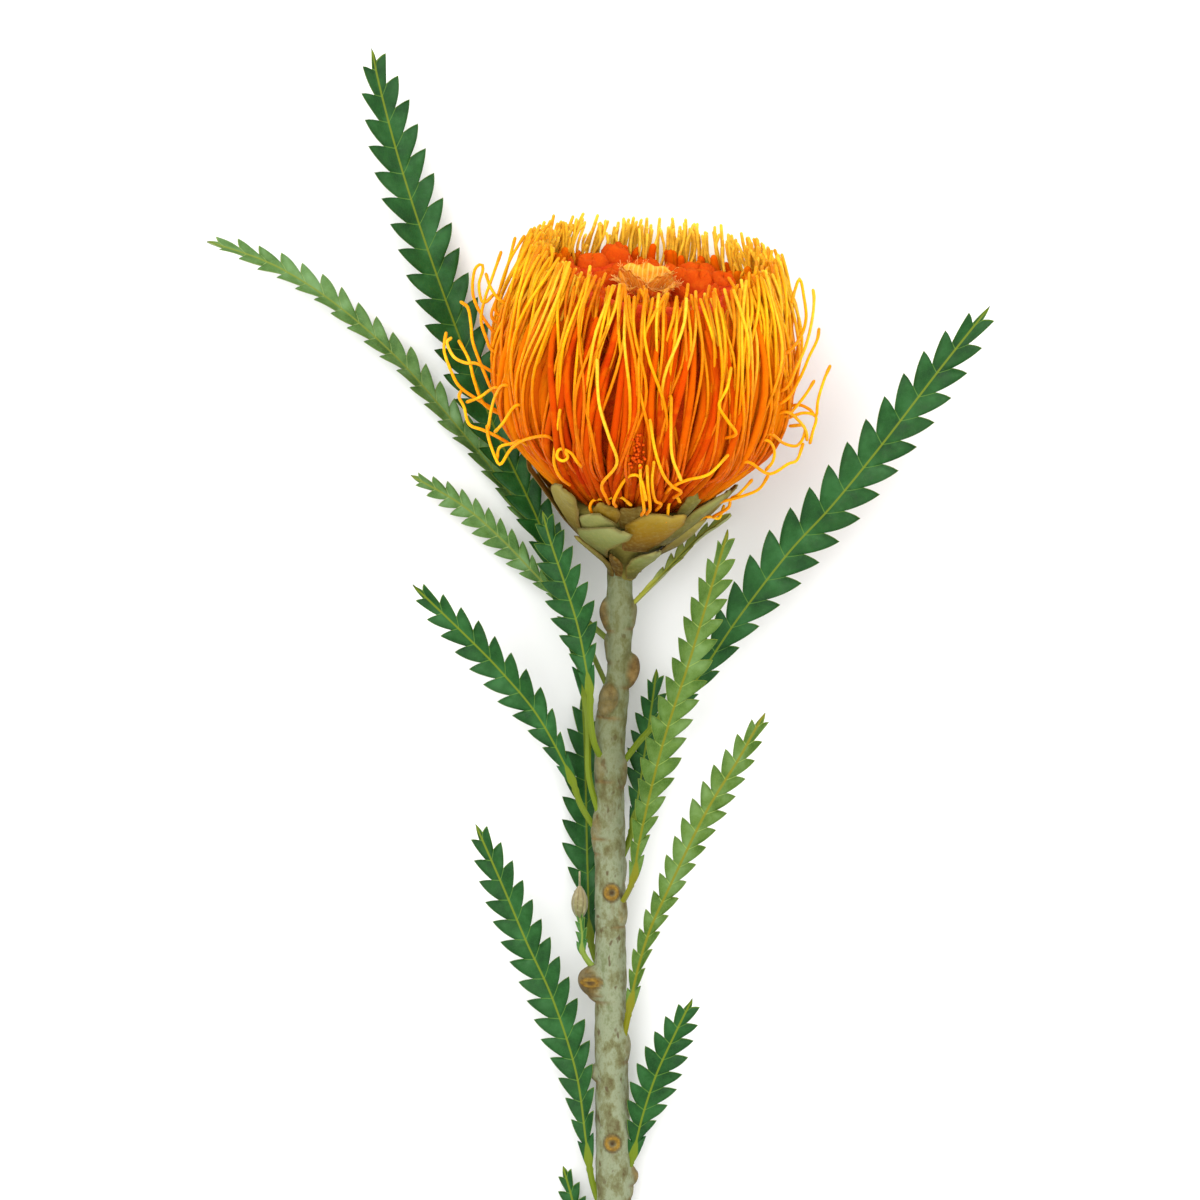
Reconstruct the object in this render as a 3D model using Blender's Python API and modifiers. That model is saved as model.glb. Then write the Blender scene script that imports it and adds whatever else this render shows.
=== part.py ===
"""A banksia flower head on its cut, leafy stem, lying on a surface.

The x axis runs across the stem, y along it from the cut end, and z up from the surface.
Sizes and points below are millimetres and angles are degrees; MM turns them into metres.
"""

import math
import random
from bisect import bisect_right

import bmesh
import bpy
from mathutils import Matrix, Vector

MM = 0.001
SEED = 11
TOUCH_GAP = 0.3

# Stem: x, y, z and radius from the cut end to just below the head
STEM_ROUTE = [
    (2.0, 0, 4.6, 4.5),
    (1.2, 18, 5.8, 4.5),
    (0.8, 42, 7.4, 4.6),
    (0.5, 62, 8.7, 4.4),
    (0.1, 85, 10.2, 4.2),
    (0.0, 110, 11.7, 4.0),
    (-0.2, 130, 13.0, 4.0),
    (-0.2, 149, 14.2, 3.9),
    (0.2, 160, 14.9, 4.1),
    (1.2, 165, 15.2, 3.5),
    (2.0, 172, 15.6, 3.0),
    (2.3, 180, 16.1, 3.2),
    (2.5, 188, 16.6, 3.7),
    (2.4, 193, 16.8, 3.4),
]
STEM_STEP = 9
END_STEP = 2.5
STEM_SIDES_SETTING = 3

# Swellings grown on the stem: y, angle round it, how far they lean out, then half length, width, height
BUDS = [
    (173, 5, 12, 4.2, 1.7, 2.4),
    (165, 120, 8, 4.5, 2.2, 2.4),
    (91, 172, 25, 4.6, 2.8, 3.4),
    (68, 178, 10, 2.0, 1.2, 1.6),
    (41, 0, 6, 2.8, 1.2, 1.2),
    (187, 165, 24, 4.6, 1.2, 2.6),
]
# Round scars of shed leaves: y and angle round the stem
SCARS = [(115, 84), (50, 92)]
SCAR_RADIUS = 1.9
SCAR_HEIGHT = 1.0

# Head: the axis leans from the stem towards +z, so the dimple on top shows from above
NECK = (3.8, 199.2, 17.3)
HEAD_LEAN = 18
HEAD_TURN = 5.5
STEM_END_OFFSET = -1.1

# Height along the head's axis and radius, bottom to top
CUP_PROFILE = [(0, 4.0), (2.2, 4.9), (5, 8.2), (9, 12.8), (13, 16.4), (20, 21.6), (26, 25.6)]
CORE_PROFILE = [
    (20.3, 17.5),
    (24, 21.0),
    (28, 25.0),
    (33, 29.2),
    (40, 32.6),
    (50, 33.9),
    (60, 33.6),
    (68, 31.6),
    (74, 27.6),
    (77.5, 23.0),
    (76.0, 17.5),
    (72.5, 12.5),
    (70.5, 7.0),
    (70.0, 0.0),
]
CUP_TOP = 20.0
CUP_SIDES = 16
CORE_SIDES = 40
FLORET_RIDGE = 0.028

# Rows of bracts: how many, height at root and tip, lift off the cup at the tip
BRACT_ROWS = [(5, 2.0, 11.0, 1.6), (7, 6.0, 18.0, 2.0), (9, 11.0, 25.5, 1.8)]
BRACT_THICKNESS = 0.8
BRACT_OVERLAP = 1.3
BRACT_TILT = 0.7
BRACT_ROOT_DEPTH = 2.0
CUP_BASE_INSET = 1.4

# Families of styles: number, radius, then height and radius along the head at each of their points
STYLE_RADIUS = 0.75
STYLE_FAMILIES = {
    "outer": (78, [(28.5, 23.5), (37, 35.4), (54, 39.0), (71, 37.4), (86, 31.5)]),
    "middle": (36, [(44, 31.5), (56, 36.6), (73, 35.0), (84, 29.0)]),
    "rim": (27, [(69, 29.0), (78, 29.0), (85, 26.5)]),
}
STYLE_SPREAD = 6.0
STYLE_WAVE = 4.0
# Loose styles that curl clear of the head: azimuth, then height and radius at each point
LOOSE_STYLES = [
    (-84, [(34, 28), (40, 38), (52, 45.5), (66, 46.5), (74, 43.5)]),
    (-96, [(32, 26), (36, 36), (44, 44), (56, 48.5), (64, 46)]),
    (-76, [(36, 29), (46, 40), (60, 44), (76, 43), (88, 38)]),
    (-106, [(33, 27), (33, 37), (38, 45), (47, 48), (53, 44)]),
    (82, [(34, 28), (36, 38), (40, 46), (49, 49), (58, 48)]),
    (92, [(32, 26), (32, 36), (34, 44), (41, 47), (47, 43)]),
    (74, [(35, 29), (42, 40), (54, 45), (68, 45), (78, 42)]),
    (100, [(34, 28), (38, 38), (47, 46), (60, 48), (71, 45)]),
    (66, [(31, 26), (31, 33), (27, 35)]),
    (112, [(33, 27), (38, 37), (50, 44), (64, 44), (74, 41)]),
    (-20, [(31, 26), (31, 32), (28, 32)]),
    (12, [(31, 26), (32, 33), (29, 33)]),
]
FLORETS = (13, 1.8, [(70, 20.0), (78, 20.5), (82, 17.0)])

# The tuft of bracts in the dimple: number, length, half width, lean from the axis
TUFT_SEAT = 70.35
TUFT_RADIUS = 4.5
TUFT_BRACTS = [(3, 10.5, 5.2, 24), (5, 8.5, 4.0, 50)]

# Leaves: foot on the stem (y, angle round it), way the face looks, fold of the halves, half width,
# lobe spacing, bare petiole, then the midrib's points
LEAVES = {
    "leaf_upper_left": dict(
        foot=(134, 150),
        face=(0.30, 0, 0.95),
        fold=10,
        half_width=8.3,
        spacing=7.3,
        growing=0.5,
        petiole=32,
        route=[
            (-5.6, 145, 16.8), (-5.8, 156, 16.5), (-6.6, 167, 15.5), (-8.7, 180, 13.8),
            (-13.0, 196, 12.5), (-19.6, 213, 10), (-30, 235, 7.5), (-38.6, 257, 7), (-48, 283, 9),
            (-55, 305, 12), (-60, 324, 15), (-62, 334, 17),
        ],
    ),
    "leaf_front_left": dict(
        foot=(149, 130),
        face=(-0.15, 0, 0.99),
        fold=8,
        half_width=6.6,
        spacing=5.4,
        petiole=19,
        route=[
            (-4.2, 154, 19.6), (-5.2, 161, 20.6), (-5.4, 168, 21.4), (-8.1, 183, 23),
            (-11.7, 195, 24.5), (-15.4, 206, 26), (-17.6, 214, 27),
        ],
    ),
    "leaf_arching_left": dict(
        foot=(167, 205),
        face=(0.38, 0.35, 0.86),
        fold=22,
        half_width=4.6,
        spacing=6.0,
        petiole=27,
        route=[
            (-5.8, 179, 7.5), (-15, 200, 4.5), (-27.5, 220, 4.2), (-41, 237, 5), (-56, 254, 6.5),
            (-72, 268, 8.5), (-88, 278, 10.5), (-105, 284, 12.5),
        ],
    ),
    "leaf_pale_left": dict(
        foot=(180, 192),
        face=(0.10, -0.30, 0.95),
        fold=16,
        half_width=4.4,
        spacing=4.4,
        petiole=18,
        route=[
            (-7.9, 187, 9.6), (-16, 194, 7.8), (-28.5, 207, 7), (-39, 216, 8), (-52, 223.5, 11),
        ],
    ),
    "leaf_mid_left": dict(
        foot=(130, 178),
        face=(-0.20, -0.12, 0.97),
        fold=8,
        half_width=6.0,
        spacing=6.4,
        petiole=14,
        route=[
            (-7.6, 137.5, 13.6), (-10.9, 146.5, 15), (-18.8, 161, 18), (-27.8, 172, 20),
            (-36.5, 181, 22), (-51, 195, 25),
        ],
    ),
    "leaf_back_left": dict(
        foot=(93, 222),
        face=(0.10, 0, 0.99),
        fold=6,
        half_width=6.8,
        spacing=6.6,
        petiole=9,
        route=[
            (-5.2, 102, 5.6), (-6, 120, 4.6), (-6.4, 139, 4.6), (-6.8, 154, 5.2), (-7.4, 167, 6),
        ],
    ),
    "leaf_low_left": dict(
        foot=(32, 178),
        face=(-0.12, 0, 0.99),
        fold=8,
        half_width=6.5,
        spacing=6.1,
        petiole=12,
        route=[
            (-4.9, 40, 8.2), (-6.3, 50, 9), (-8.9, 68, 10), (-14.9, 87, 12), (-21.7, 102, 14),
            (-28, 117, 16), (-35, 133, 18),
        ],
    ),
    "leaf_bottom_left": dict(
        foot=(7, 192),
        face=(-0.10, 0, 0.99),
        fold=10,
        half_width=4.8,
        spacing=5.0,
        petiole=10,
        route=[
            (-5.6, 16, 3.4), (-8.2, 27, 3.2), (-10.4, 36, 4), (-12.4, 43, 5.2),
        ],
    ),
    "leaf_upper_right": dict(
        foot=(147.5, 8),
        face=(0.10, 0.10, 0.99),
        fold=8,
        half_width=7.8,
        spacing=7.9,
        petiole=16,
        route=[
            (7.4, 154, 13), (13, 160, 12.5), (21.5, 169, 13), (33, 186, 16), (46, 203, 19),
            (57, 215, 22), (70, 231, 25), (84.5, 250, 28), (97.5, 266.5, 31),
        ],
    ),
    "leaf_front_right": dict(
        foot=(111, 32),
        face=(0.35, -0.10, 0.93),
        fold=14,
        half_width=5.9,
        spacing=5.6,
        petiole=8,
        route=[
            (5.6, 118, 17.5), (7.2, 128, 20), (11, 145, 24), (14.8, 159, 27), (19.4, 173, 29),
            (23.3, 186, 31), (30, 209, 33),
        ],
    ),
    "leaf_back_right": dict(
        foot=(122, -28),
        face=(0.10, 0, 0.99),
        fold=8,
        half_width=5.2,
        spacing=5.6,
        petiole=10,
        route=[
            (5.4, 130, 8.5), (7.4, 141, 7), (9.2, 153, 6.2), (11, 165, 6.6), (12, 173, 7.4),
        ],
    ),
    "leaf_pale_right": dict(
        foot=(76, 12),
        face=(-0.25, 0.10, 0.96),
        fold=12,
        half_width=5.3,
        spacing=5.6,
        growing=0.62,
        petiole=9,
        route=[
            (4.9, 84, 14), (7.2, 95, 17), (10.2, 105, 19), (14.1, 114, 22), (24.3, 135.5, 28),
            (33.3, 150.5, 31), (39.6, 162, 33),
        ],
    ),
    "leaf_low_right": dict(
        foot=(40, -4),
        face=(0.15, 0, 0.99),
        fold=8,
        half_width=6.6,
        spacing=5.5,
        petiole=5,
        route=[
            (6.0, 47, 9.2), (8.4, 57, 11.5), (11.8, 67.5, 14), (16.2, 77.5, 17), (21.2, 88, 20),
        ],
    ),
    "leaf_neck_right": dict(
        foot=(188.5, 4),
        face=(-0.42, 0.48, 0.77),
        fold=38,
        half_width=2.8,
        spacing=4.4,
        petiole=5,
        route=[
            (9.2, 193.0, 17.8), (14.0, 197.7, 17.8), (18.7, 202.8, 17.6), (23.6, 207.4, 17.2),
            (27.8, 210.3, 16.6), (31.4, 212.9, 16.0),
        ],
    ),
}
PETIOLE_HALF_WIDTH = 0.9
RIB_THICKNESS = 1.5
BLADE_THICKNESS = 0.7
SINUS_DEPTH = 0.42
SINUS_SLANT = 0.45
LOBE_REACH = 0.17
LOBE_BULGE = (0.45, 0.6)
LOBE_STAGGER = 0.3
BASE_SHARE = 0.35
GROWING_SHARE = 0.3
TIP_TAPER = 0.58
END_SHARE = 0.85
PALE_LEAVES = (
    "leaf_arching_left",
    "leaf_pale_left",
    "leaf_front_right",
    "leaf_pale_right",
    "leaf_neck_right",
)

# Side shoot on the left: its small blade and the bud on its end
SHOOT = dict(
    foot=(93, 168),
    face=(-0.25, 0, 0.97),
    fold=10,
    half_width=2.2,
    spacing=3.4,
    petiole=4,
    route=[(-7.0, 99, 12.0), (-7.2, 104, 11.8), (-7.8, 109, 11.6), (-8.0, 112, 11.6)],
)
SHOOT_BUD = (-8.0, 112.2, 11.6)
SHOOT_BUD_SIZE = (2.1, 5.2, 1.9)

MATERIALS = {
    "stem": ((0.36, 0.38, 0.29), 0.8),
    "involucre_bracts": ((0.38, 0.35, 0.14), 0.75),
    "flower_head": ((0.95, 0.42, 0.03), 0.55),
    "centre_bracts": ((0.85, 0.40, 0.16), 0.8),
    "dark_leaf": ((0.03, 0.13, 0.04), 0.5),
    "pale_leaf": ((0.17, 0.32, 0.10), 0.6),
    "side_shoot": ((0.38, 0.36, 0.22), 0.7),
}


def point(x, y, z):
    """A point given in millimetres."""
    return Vector((x, y, z)) * MM


class Path:
    """A smooth curve through a few points, read by the distance along it."""

    STEPS = 10

    def __init__(self, points):
        padded = [points[0] * 2 - points[1], *points, points[-1] * 2 - points[-2]]
        self.points = [points[0]]
        for before, start, end, after in zip(padded, padded[1:], padded[2:], padded[3:]):
            for step in range(1, self.STEPS + 1):
                t = step / self.STEPS
                bend = (before * 2 - start * 5 + end * 4 - after) * t**2
                turn = (start * 3 - before - end * 3 + after) * t**3
                self.points.append(start + ((end - before) * t + bend + turn) / 2)
        self.marks = [0.0]
        for start, end in zip(self.points, self.points[1:]):
            self.marks.append(self.marks[-1] + (end - start).length)
        self.length = self.marks[-1]

    def at(self, distance):
        index = min(max(bisect_right(self.marks, distance) - 1, 0), len(self.points) - 2)
        start, end = self.marks[index], self.marks[index + 1]
        return self.points[index].lerp(self.points[index + 1], (distance - start) / (end - start))

    def direction(self, distance):
        return (self.at(distance + MM) - self.at(distance - MM)).to_3d().normalized()


def along_profile(profile, height):
    """Radius at a height, read from a list of heights and radii."""
    for (low, inner), (high, outer) in zip(profile, profile[1:]):
        if height <= high:
            break
    return inner + (outer - inner) * (height - low) / (high - low)


def material(name):
    colour, roughness = MATERIALS[name]
    made = bpy.data.materials.get(name) or bpy.data.materials.new(name)
    made.use_nodes = True
    shader = made.node_tree.nodes["Principled BSDF"]
    shader.inputs["Base Color"].default_value = (*colour, 1)
    shader.inputs["Roughness"].default_value = roughness
    shader.inputs["Metallic"].default_value = 0
    return made


def add(name, data, collection, parent=None, slot=None):
    """Adds an object to a collection, under an empty, with its material."""
    made = bpy.data.objects.new(name, data)
    collection.objects.link(made)
    made.parent = parent
    if slot:
        data.materials.clear()
        data.materials.append(material(slot))
    return made


def mesh_from(name, build):
    """A mesh that a function fills in through bmesh."""
    shape = bmesh.new()
    build(shape)
    mesh = bpy.data.meshes.new(name)
    shape.to_mesh(mesh)
    shape.free()
    return mesh


def as_meshes(curves):
    """Mesh objects in place of curve objects, with their end caps welded."""
    bpy.context.view_layer.update()
    depsgraph = bpy.context.evaluated_depsgraph_get()
    made = []
    for curve in curves:
        mesh = bpy.data.meshes.new_from_object(curve.evaluated_get(depsgraph))
        shape = bmesh.new()
        shape.from_mesh(mesh)
        bmesh.ops.remove_doubles(shape, verts=shape.verts, dist=0.00001)
        bmesh.ops.recalc_face_normals(shape, faces=shape.faces)
        shape.to_mesh(mesh)
        shape.free()
        solid = bpy.data.objects.new(curve.name + "_solid", mesh)
        curve.users_collection[0].objects.link(solid)
        solid.parent = curve.parent
        solid.matrix_world = curve.matrix_world
        made.append(solid)
        bpy.data.objects.remove(curve)
    return made


def apply_modifiers(thing):
    bpy.context.view_layer.update()
    depsgraph = bpy.context.evaluated_depsgraph_get()
    mesh = bpy.data.meshes.new_from_object(thing.evaluated_get(depsgraph))
    thing.modifiers.clear()
    thing.data = mesh


def join(core, pieces, solver="EXACT"):
    """Fuses the pieces into the core as one body, and removes them."""
    bpy.context.view_layer.update()
    group = bpy.data.collections.new("joined_" + core.name)
    bpy.context.scene.collection.children.link(group)
    for piece in pieces:
        group.objects.link(piece)
    union = core.modifiers.new("join", "BOOLEAN")
    union.operation = "UNION"
    union.operand_type = "COLLECTION"
    union.collection = group
    union.solver = solver
    apply_modifiers(core)
    for piece in pieces:
        bpy.data.objects.remove(piece)
    bpy.data.collections.remove(group)


def keep_body(mesh):
    """Drops the loose scraps that a cut leaves, and keeps the largest body."""
    shape = bmesh.new()
    shape.from_mesh(mesh)
    unseen = set(shape.verts)
    bodies = []
    while unseen:
        body, front = set(), [unseen.pop()]
        while front:
            corner = front.pop()
            body.add(corner)
            near = {edge.other_vert(corner) for edge in corner.link_edges} & unseen
            unseen -= near
            front.extend(near)
        bodies.append(body)
    largest = max(bodies, key=len)
    bmesh.ops.delete(shape, geom=[v for v in shape.verts if v not in largest], context="VERTS")
    shape.to_mesh(mesh)
    shape.free()


def cut(thing, cutter):
    """Takes the cutter's shape away from the thing."""
    difference = thing.modifiers.new("cut", "BOOLEAN")
    difference.operation = "DIFFERENCE"
    difference.object = cutter
    apply_modifiers(thing)
    keep_body(thing.data)


def tube(name, points, radii, collection, parent, profile=None, sides_setting=2):
    """A tapered tube along points, as a curve with filled caps."""
    curve = bpy.data.curves.new(name, "CURVE")
    curve.dimensions = "3D"
    curve.use_fill_caps = True
    if profile:
        curve.bevel_mode = "OBJECT"
        curve.bevel_object = profile
    else:
        curve.bevel_depth = 1.0
        curve.bevel_resolution = sides_setting
    spline = curve.splines.new("POLY")
    spline.points.add(len(points) - 1)
    for target, location, radius in zip(spline.points, points, radii):
        target.co = (*location, 1)
        target.radius = radius
    return add(name, curve, collection, parent)


def ellipsoid(name, half_sizes, frame, collection, parent, segments=6, rings=4):
    """A ball stretched to its half sizes along the frame's axes."""
    mesh = mesh_from(
        name,
        lambda shape: bmesh.ops.create_uvsphere(
            shape,
            u_segments=segments,
            v_segments=rings,
            radius=1,
            matrix=frame @ Matrix.Diagonal((*half_sizes, 1)),
        ),
    )
    return add(name, mesh, collection, parent)


def frame_at(origin, forward, up):
    """A matrix whose y axis points forward and whose z axis points up as far as it can."""
    forward = forward.normalized()
    side = forward.cross(up).normalized()
    frame = Matrix((side, forward, side.cross(forward))).transposed().to_4x4()
    frame.translation = origin
    return frame


def stem_path():
    """The stem's centre line and radius, its last stretch turned into the head's axis."""
    route = [Vector(row) * MM for row in STEM_ROUTE]
    axis = HEAD_FRAME.col[2].xyz
    aside = HEAD_FRAME.col[0].xyz * STEM_END_OFFSET * MM
    for back, radius in ((3.0, 3.3), (TOUCH_GAP, 3.5)):
        location = HEAD_FRAME.translation - axis * back * MM + aside
        route.append(Vector((*location, radius * MM)))
    return Path(route)


def on_stem(path, y, angle, outward=0.0):
    """A frame on the stem's skin: y axis along the stem and z axis out of it."""
    marks = [path.length * step / 400 for step in range(401)]
    distance = min(marks, key=lambda mark: abs(path.at(mark).y - y * MM))
    centre, along = path.at(distance), path.direction(distance)
    right = along.cross(Vector((0, 0, 1))).normalized()
    upward = right.cross(along)
    turn = math.radians(angle)
    out = right * math.cos(turn) + upward * math.sin(turn)
    return frame_at(centre.to_3d() + out * (centre.w + outward * MM), along, out)


def stem(name, path, collection, parent, swell=0.0, slot=None):
    """The stem with its swellings and scars; swell makes a cutter that is larger all round."""
    steps = round(path.length / (STEM_STEP * MM))
    marks = [path.length * step / steps for step in range(steps)]
    marks += [path.length - END_STEP * MM, path.length]
    samples = [path.at(mark) for mark in marks]
    radii = [sample.w + swell * MM for sample in samples]
    points = [sample.to_3d() for sample in samples]
    if swell:
        points[0] = points[0] - path.direction(0) * 5 * MM
        points[-1] = points[-1] + path.direction(path.length) * swell * MM
    shaft = tube(name + "_line", points, radii, collection, parent, sides_setting=STEM_SIDES_SETTING)
    body = as_meshes([shaft])[0]
    body.name = name
    feet = [leaf["foot"] for leaf in LEAVES.values()]
    collars = [(y - 2.5, angle, 5, 4.6, 2.2, 1.5) for y, angle in feet]
    grown = []
    for y, angle, lean, length, width, height in BUDS + collars:
        frame = on_stem(path, y, angle) @ Matrix.Rotation(math.radians(lean), 4, "X")
        sizes = Vector((width + swell, length + swell, height + swell)) * MM
        grown.append(ellipsoid(name + "_bud", sizes, frame, collection, parent))
    for y, angle in SCARS:
        mesh = mesh_from(
            name + "_scar",
            lambda shape: bmesh.ops.create_cone(
                shape,
                cap_ends=True,
                segments=9,
                radius1=(SCAR_RADIUS + 0.4 + swell) * MM,
                radius2=(SCAR_RADIUS - 0.3 + swell) * MM,
                depth=2 * (SCAR_HEIGHT + swell) * MM,
                matrix=on_stem(path, y, angle),
            ),
        )
        grown.append(add(name + "_scar", mesh, collection, parent))
    join(body, grown)
    keep_body(body.data)
    if slot:
        body.data.materials.clear()
        body.data.materials.append(material(slot))
    return body


def lobe_share(index, lobes, growing):
    """How wide this lobe is, counted from the base, as a share of the blade's half width."""
    base = min(1.0, BASE_SHARE + (1 - BASE_SHARE) * index / lobes / growing)
    return base * (1 - TIP_TAPER ** (lobes - index))


def leaf_surface(leaf, path):
    """An open leaf surface: a bare petiole, then pairs of lobes cut towards the midrib."""
    face = Vector(leaf["face"])
    fold = math.radians(leaf["fold"])
    petiole = leaf["petiole"] * MM
    blade = path.length - petiole
    lobes = round(blade / (leaf["spacing"] * MM))
    growing = leaf.get("growing", GROWING_SHARE)
    pitch = blade / (lobes + END_SHARE)

    def place(along, across):
        direction = path.direction(min(along, path.length - MM))
        side = direction.cross(face).normalized()
        normal = side.cross(direction)
        ahead = path.at(min(along, path.length))
        return ahead + side * across * math.cos(fold) + normal * abs(across) * math.sin(fold)

    def build(shape):
        rib = shape.verts.layers.deform.verify()

        def corner(along, across, thick):
            made = shape.verts.new(place(along, across))
            made[rib][0] = 1.0 if thick else 0.0
            return made

        stalk_steps = max(2, round(petiole / (6 * MM)))
        stalk = []
        for step in range(stalk_steps):
            along = petiole * step / stalk_steps
            stalk.append([corner(along, side * PETIOLE_HALF_WIDTH * MM, True) for side in (-1, 1)])
        for (left, right), (next_left, next_right) in zip(stalk, stalk[1:]):
            shape.faces.new((left, right, next_right))
            shape.faces.new((left, next_right, next_left))
        stations = [petiole + pitch * index for index in range(lobes + 1)]
        middle = [corner(along, 0, True) for along in stations]
        end = corner(path.length, 0, False)
        left, right = stalk[-1]
        joints = {}
        for side, shift in ((-1, 0), (1, LOBE_STAGGER * pitch)):
            sinuses = []
            for index, along in enumerate(stations):
                reach = leaf["half_width"] * lobe_share(index - 0.5, lobes, growing) * SINUS_DEPTH * MM
                reach = max(reach, PETIOLE_HALF_WIDTH * MM)
                ahead = SINUS_SLANT * reach + shift if index else 0
                sinuses.append(corner(along + ahead, side * reach, index == 0))
            joints[side] = sinuses[0]
            for index in range(lobes):
                inner, outer = middle[index], middle[index + 1]
                near, far = sinuses[index], sinuses[index + 1]
                width = leaf["half_width"] * lobe_share(index, lobes, growing) * MM
                base = SINUS_DEPTH * width
                ahead = stations[index] + SINUS_SLANT * base + shift
                tip = corner(ahead + (1 + LOBE_REACH) * pitch, side * width, False)
                bulge_across = base + LOBE_BULGE[1] * (width - base)
                bulge = corner(ahead + LOBE_BULGE[0] * pitch, side * bulge_across, False)
                triangles = [(inner, near, far), (inner, far, outer), (near, bulge, far), (bulge, tip, far)]
                for triangle in triangles:
                    shape.faces.new(triangle if side > 0 else triangle[::-1])
            last = (middle[-1], sinuses[-1], end)
            shape.faces.new(last if side > 0 else last[::-1])
        shape.faces.new((left, right, middle[0]))
        shape.faces.new((right, joints[1], middle[0]))
        shape.faces.new((left, middle[0], joints[-1]))

    return mesh_from("leaf", build)


def leaf_blade(name, leaf, path_on_stem, collection, parent, slot):
    """A leaf of real thickness, from inside the stem to its tip."""
    foot = on_stem(path_on_stem, *leaf["foot"], outward=-1.2).translation
    path = Path([foot, *(point(*row) for row in leaf["route"])])
    made = add(name, leaf_surface(leaf, path), collection, parent, slot)
    made.vertex_groups.new(name="rib")
    solid = made.modifiers.new("thickness", "SOLIDIFY")
    solid.thickness = RIB_THICKNESS * MM
    solid.offset = 0
    solid.vertex_group = "rib"
    solid.thickness_vertex_group = BLADE_THICKNESS / RIB_THICKNESS
    return made


def side_shoot(stem_line, clearance, collection, parent):
    made = leaf_blade("side_shoot", SHOOT, stem_line, collection, parent, "side_shoot")
    apply_modifiers(made)
    frame = Matrix.Translation(point(*SHOOT_BUD))
    bud = ellipsoid("shoot_bud", Vector(SHOOT_BUD_SIZE) * MM, frame, collection, parent)
    join(made, [bud], "MANIFOLD")
    cut(made, clearance)


def turned(name, profile, steps, collection, parent, slot):
    """A turned solid: the profile runs from the top of the axis down the outer side."""
    build_points = [(radius * MM, 0, height * MM) for height, radius in profile]

    def build(shape):
        corners = [shape.verts.new(location) for location in build_points]
        for start, end in zip(corners, corners[1:]):
            shape.edges.new((start, end))

    made = add(name, mesh_from(name, build), collection, parent, slot)
    screw = made.modifiers.new("turn", "SCREW")
    screw.steps = steps
    screw.render_steps = steps
    screw.use_merge_vertices = True
    screw.merge_threshold = 0.00001
    apply_modifiers(made)
    return made


def in_head(height, radius, azimuth):
    """A point of the head's own frame; azimuth 0 faces up from the surface and 90 the right."""
    turn = math.radians(azimuth)
    return point(radius * math.sin(turn), radius * math.cos(turn), height)


def above_floor(local, radius):
    """The same point of the head's frame, raised so that what is this thick round it clears the floor."""
    world = HEAD_FRAME @ local
    world.z = max(world.z, radius + 0.05 * MM)
    return HEAD_FRAME.inverted() @ world


def bract_surface(rows, place):
    """An open, bowed bract: place gives its point at a share along and a share across."""

    def build(shape):
        grid = []
        for along, share in rows:
            grid.append([shape.verts.new(place(along, across * share)) for across in (-1, 0, 1)])
        for low, high in zip(grid, grid[1:]):
            for index in range(2):
                a, b, c, d = low[index], low[index + 1], high[index + 1], high[index]
                shape.faces.new((a, b, c))
                shape.faces.new((a, c, d))

    return mesh_from("bract", build)


def thicken(thing, thickness):
    solid = thing.modifiers.new("thickness", "SOLIDIFY")
    solid.thickness = thickness * MM
    solid.offset = 0
    apply_modifiers(thing)


def involucre(collection, parent):
    """The cup: a solid base with rows of overlapping bracts on it."""
    base_profile = [(h, r - CUP_BASE_INSET) for h, r in reversed(CUP_PROFILE) if 3 < h <= CUP_TOP]
    base_profile = [(CUP_TOP, 0), *base_profile, (1.5, CUP_PROFILE[0][1]), (0, CUP_PROFILE[0][1]), (0, 0)]
    cup = turned("involucre_bracts", base_profile, CUP_SIDES, collection, parent, "involucre_bracts")
    bracts = []
    for number, low, high, lift in BRACT_ROWS:
        for index in range(number):
            azimuth = 360 * (index + 0.5 * (low > 5)) / number + random.uniform(-5, 5)
            top = high + random.uniform(-1.5, 1.0)
            half_turn = 180 / number * BRACT_OVERLAP

            def place(along, across):
                height = low + (top - low) * along
                radius = along_profile(CUP_PROFILE, height) + lift * along**2 + BRACT_TILT * across
                radius -= BRACT_ROOT_DEPTH if along == 0 else 0
                location = in_head(height - 1.2 * abs(across) * along, radius, azimuth + half_turn * across)
                return above_floor(location, BRACT_THICKNESS * MM)

            rows = [(0, 0.8), (0.6, 1.0), (1, 0.4)]
            bract = add("bract", bract_surface(rows, place), collection, parent)
            thicken(bract, BRACT_THICKNESS)
            bracts.append(bract)
    join(cup, bracts, "MANIFOLD")
    keep_body(cup.data)
    return cup


def style_points(family, azimuth, spread, wave):
    """A style's points round the head, wandering a little from its own meridian."""
    drift = random.uniform(-spread, spread)
    stretch = random.uniform(-1.2, 1.2)
    points = []
    for index, (height, radius) in enumerate(family):
        share = index / (len(family) - 1)
        turn = azimuth + drift * share + wave * math.sin(math.pi * share * 1.7)
        points.append(in_head(height + stretch * share, radius + 0.8 * stretch * share, turn))
    return points


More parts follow.
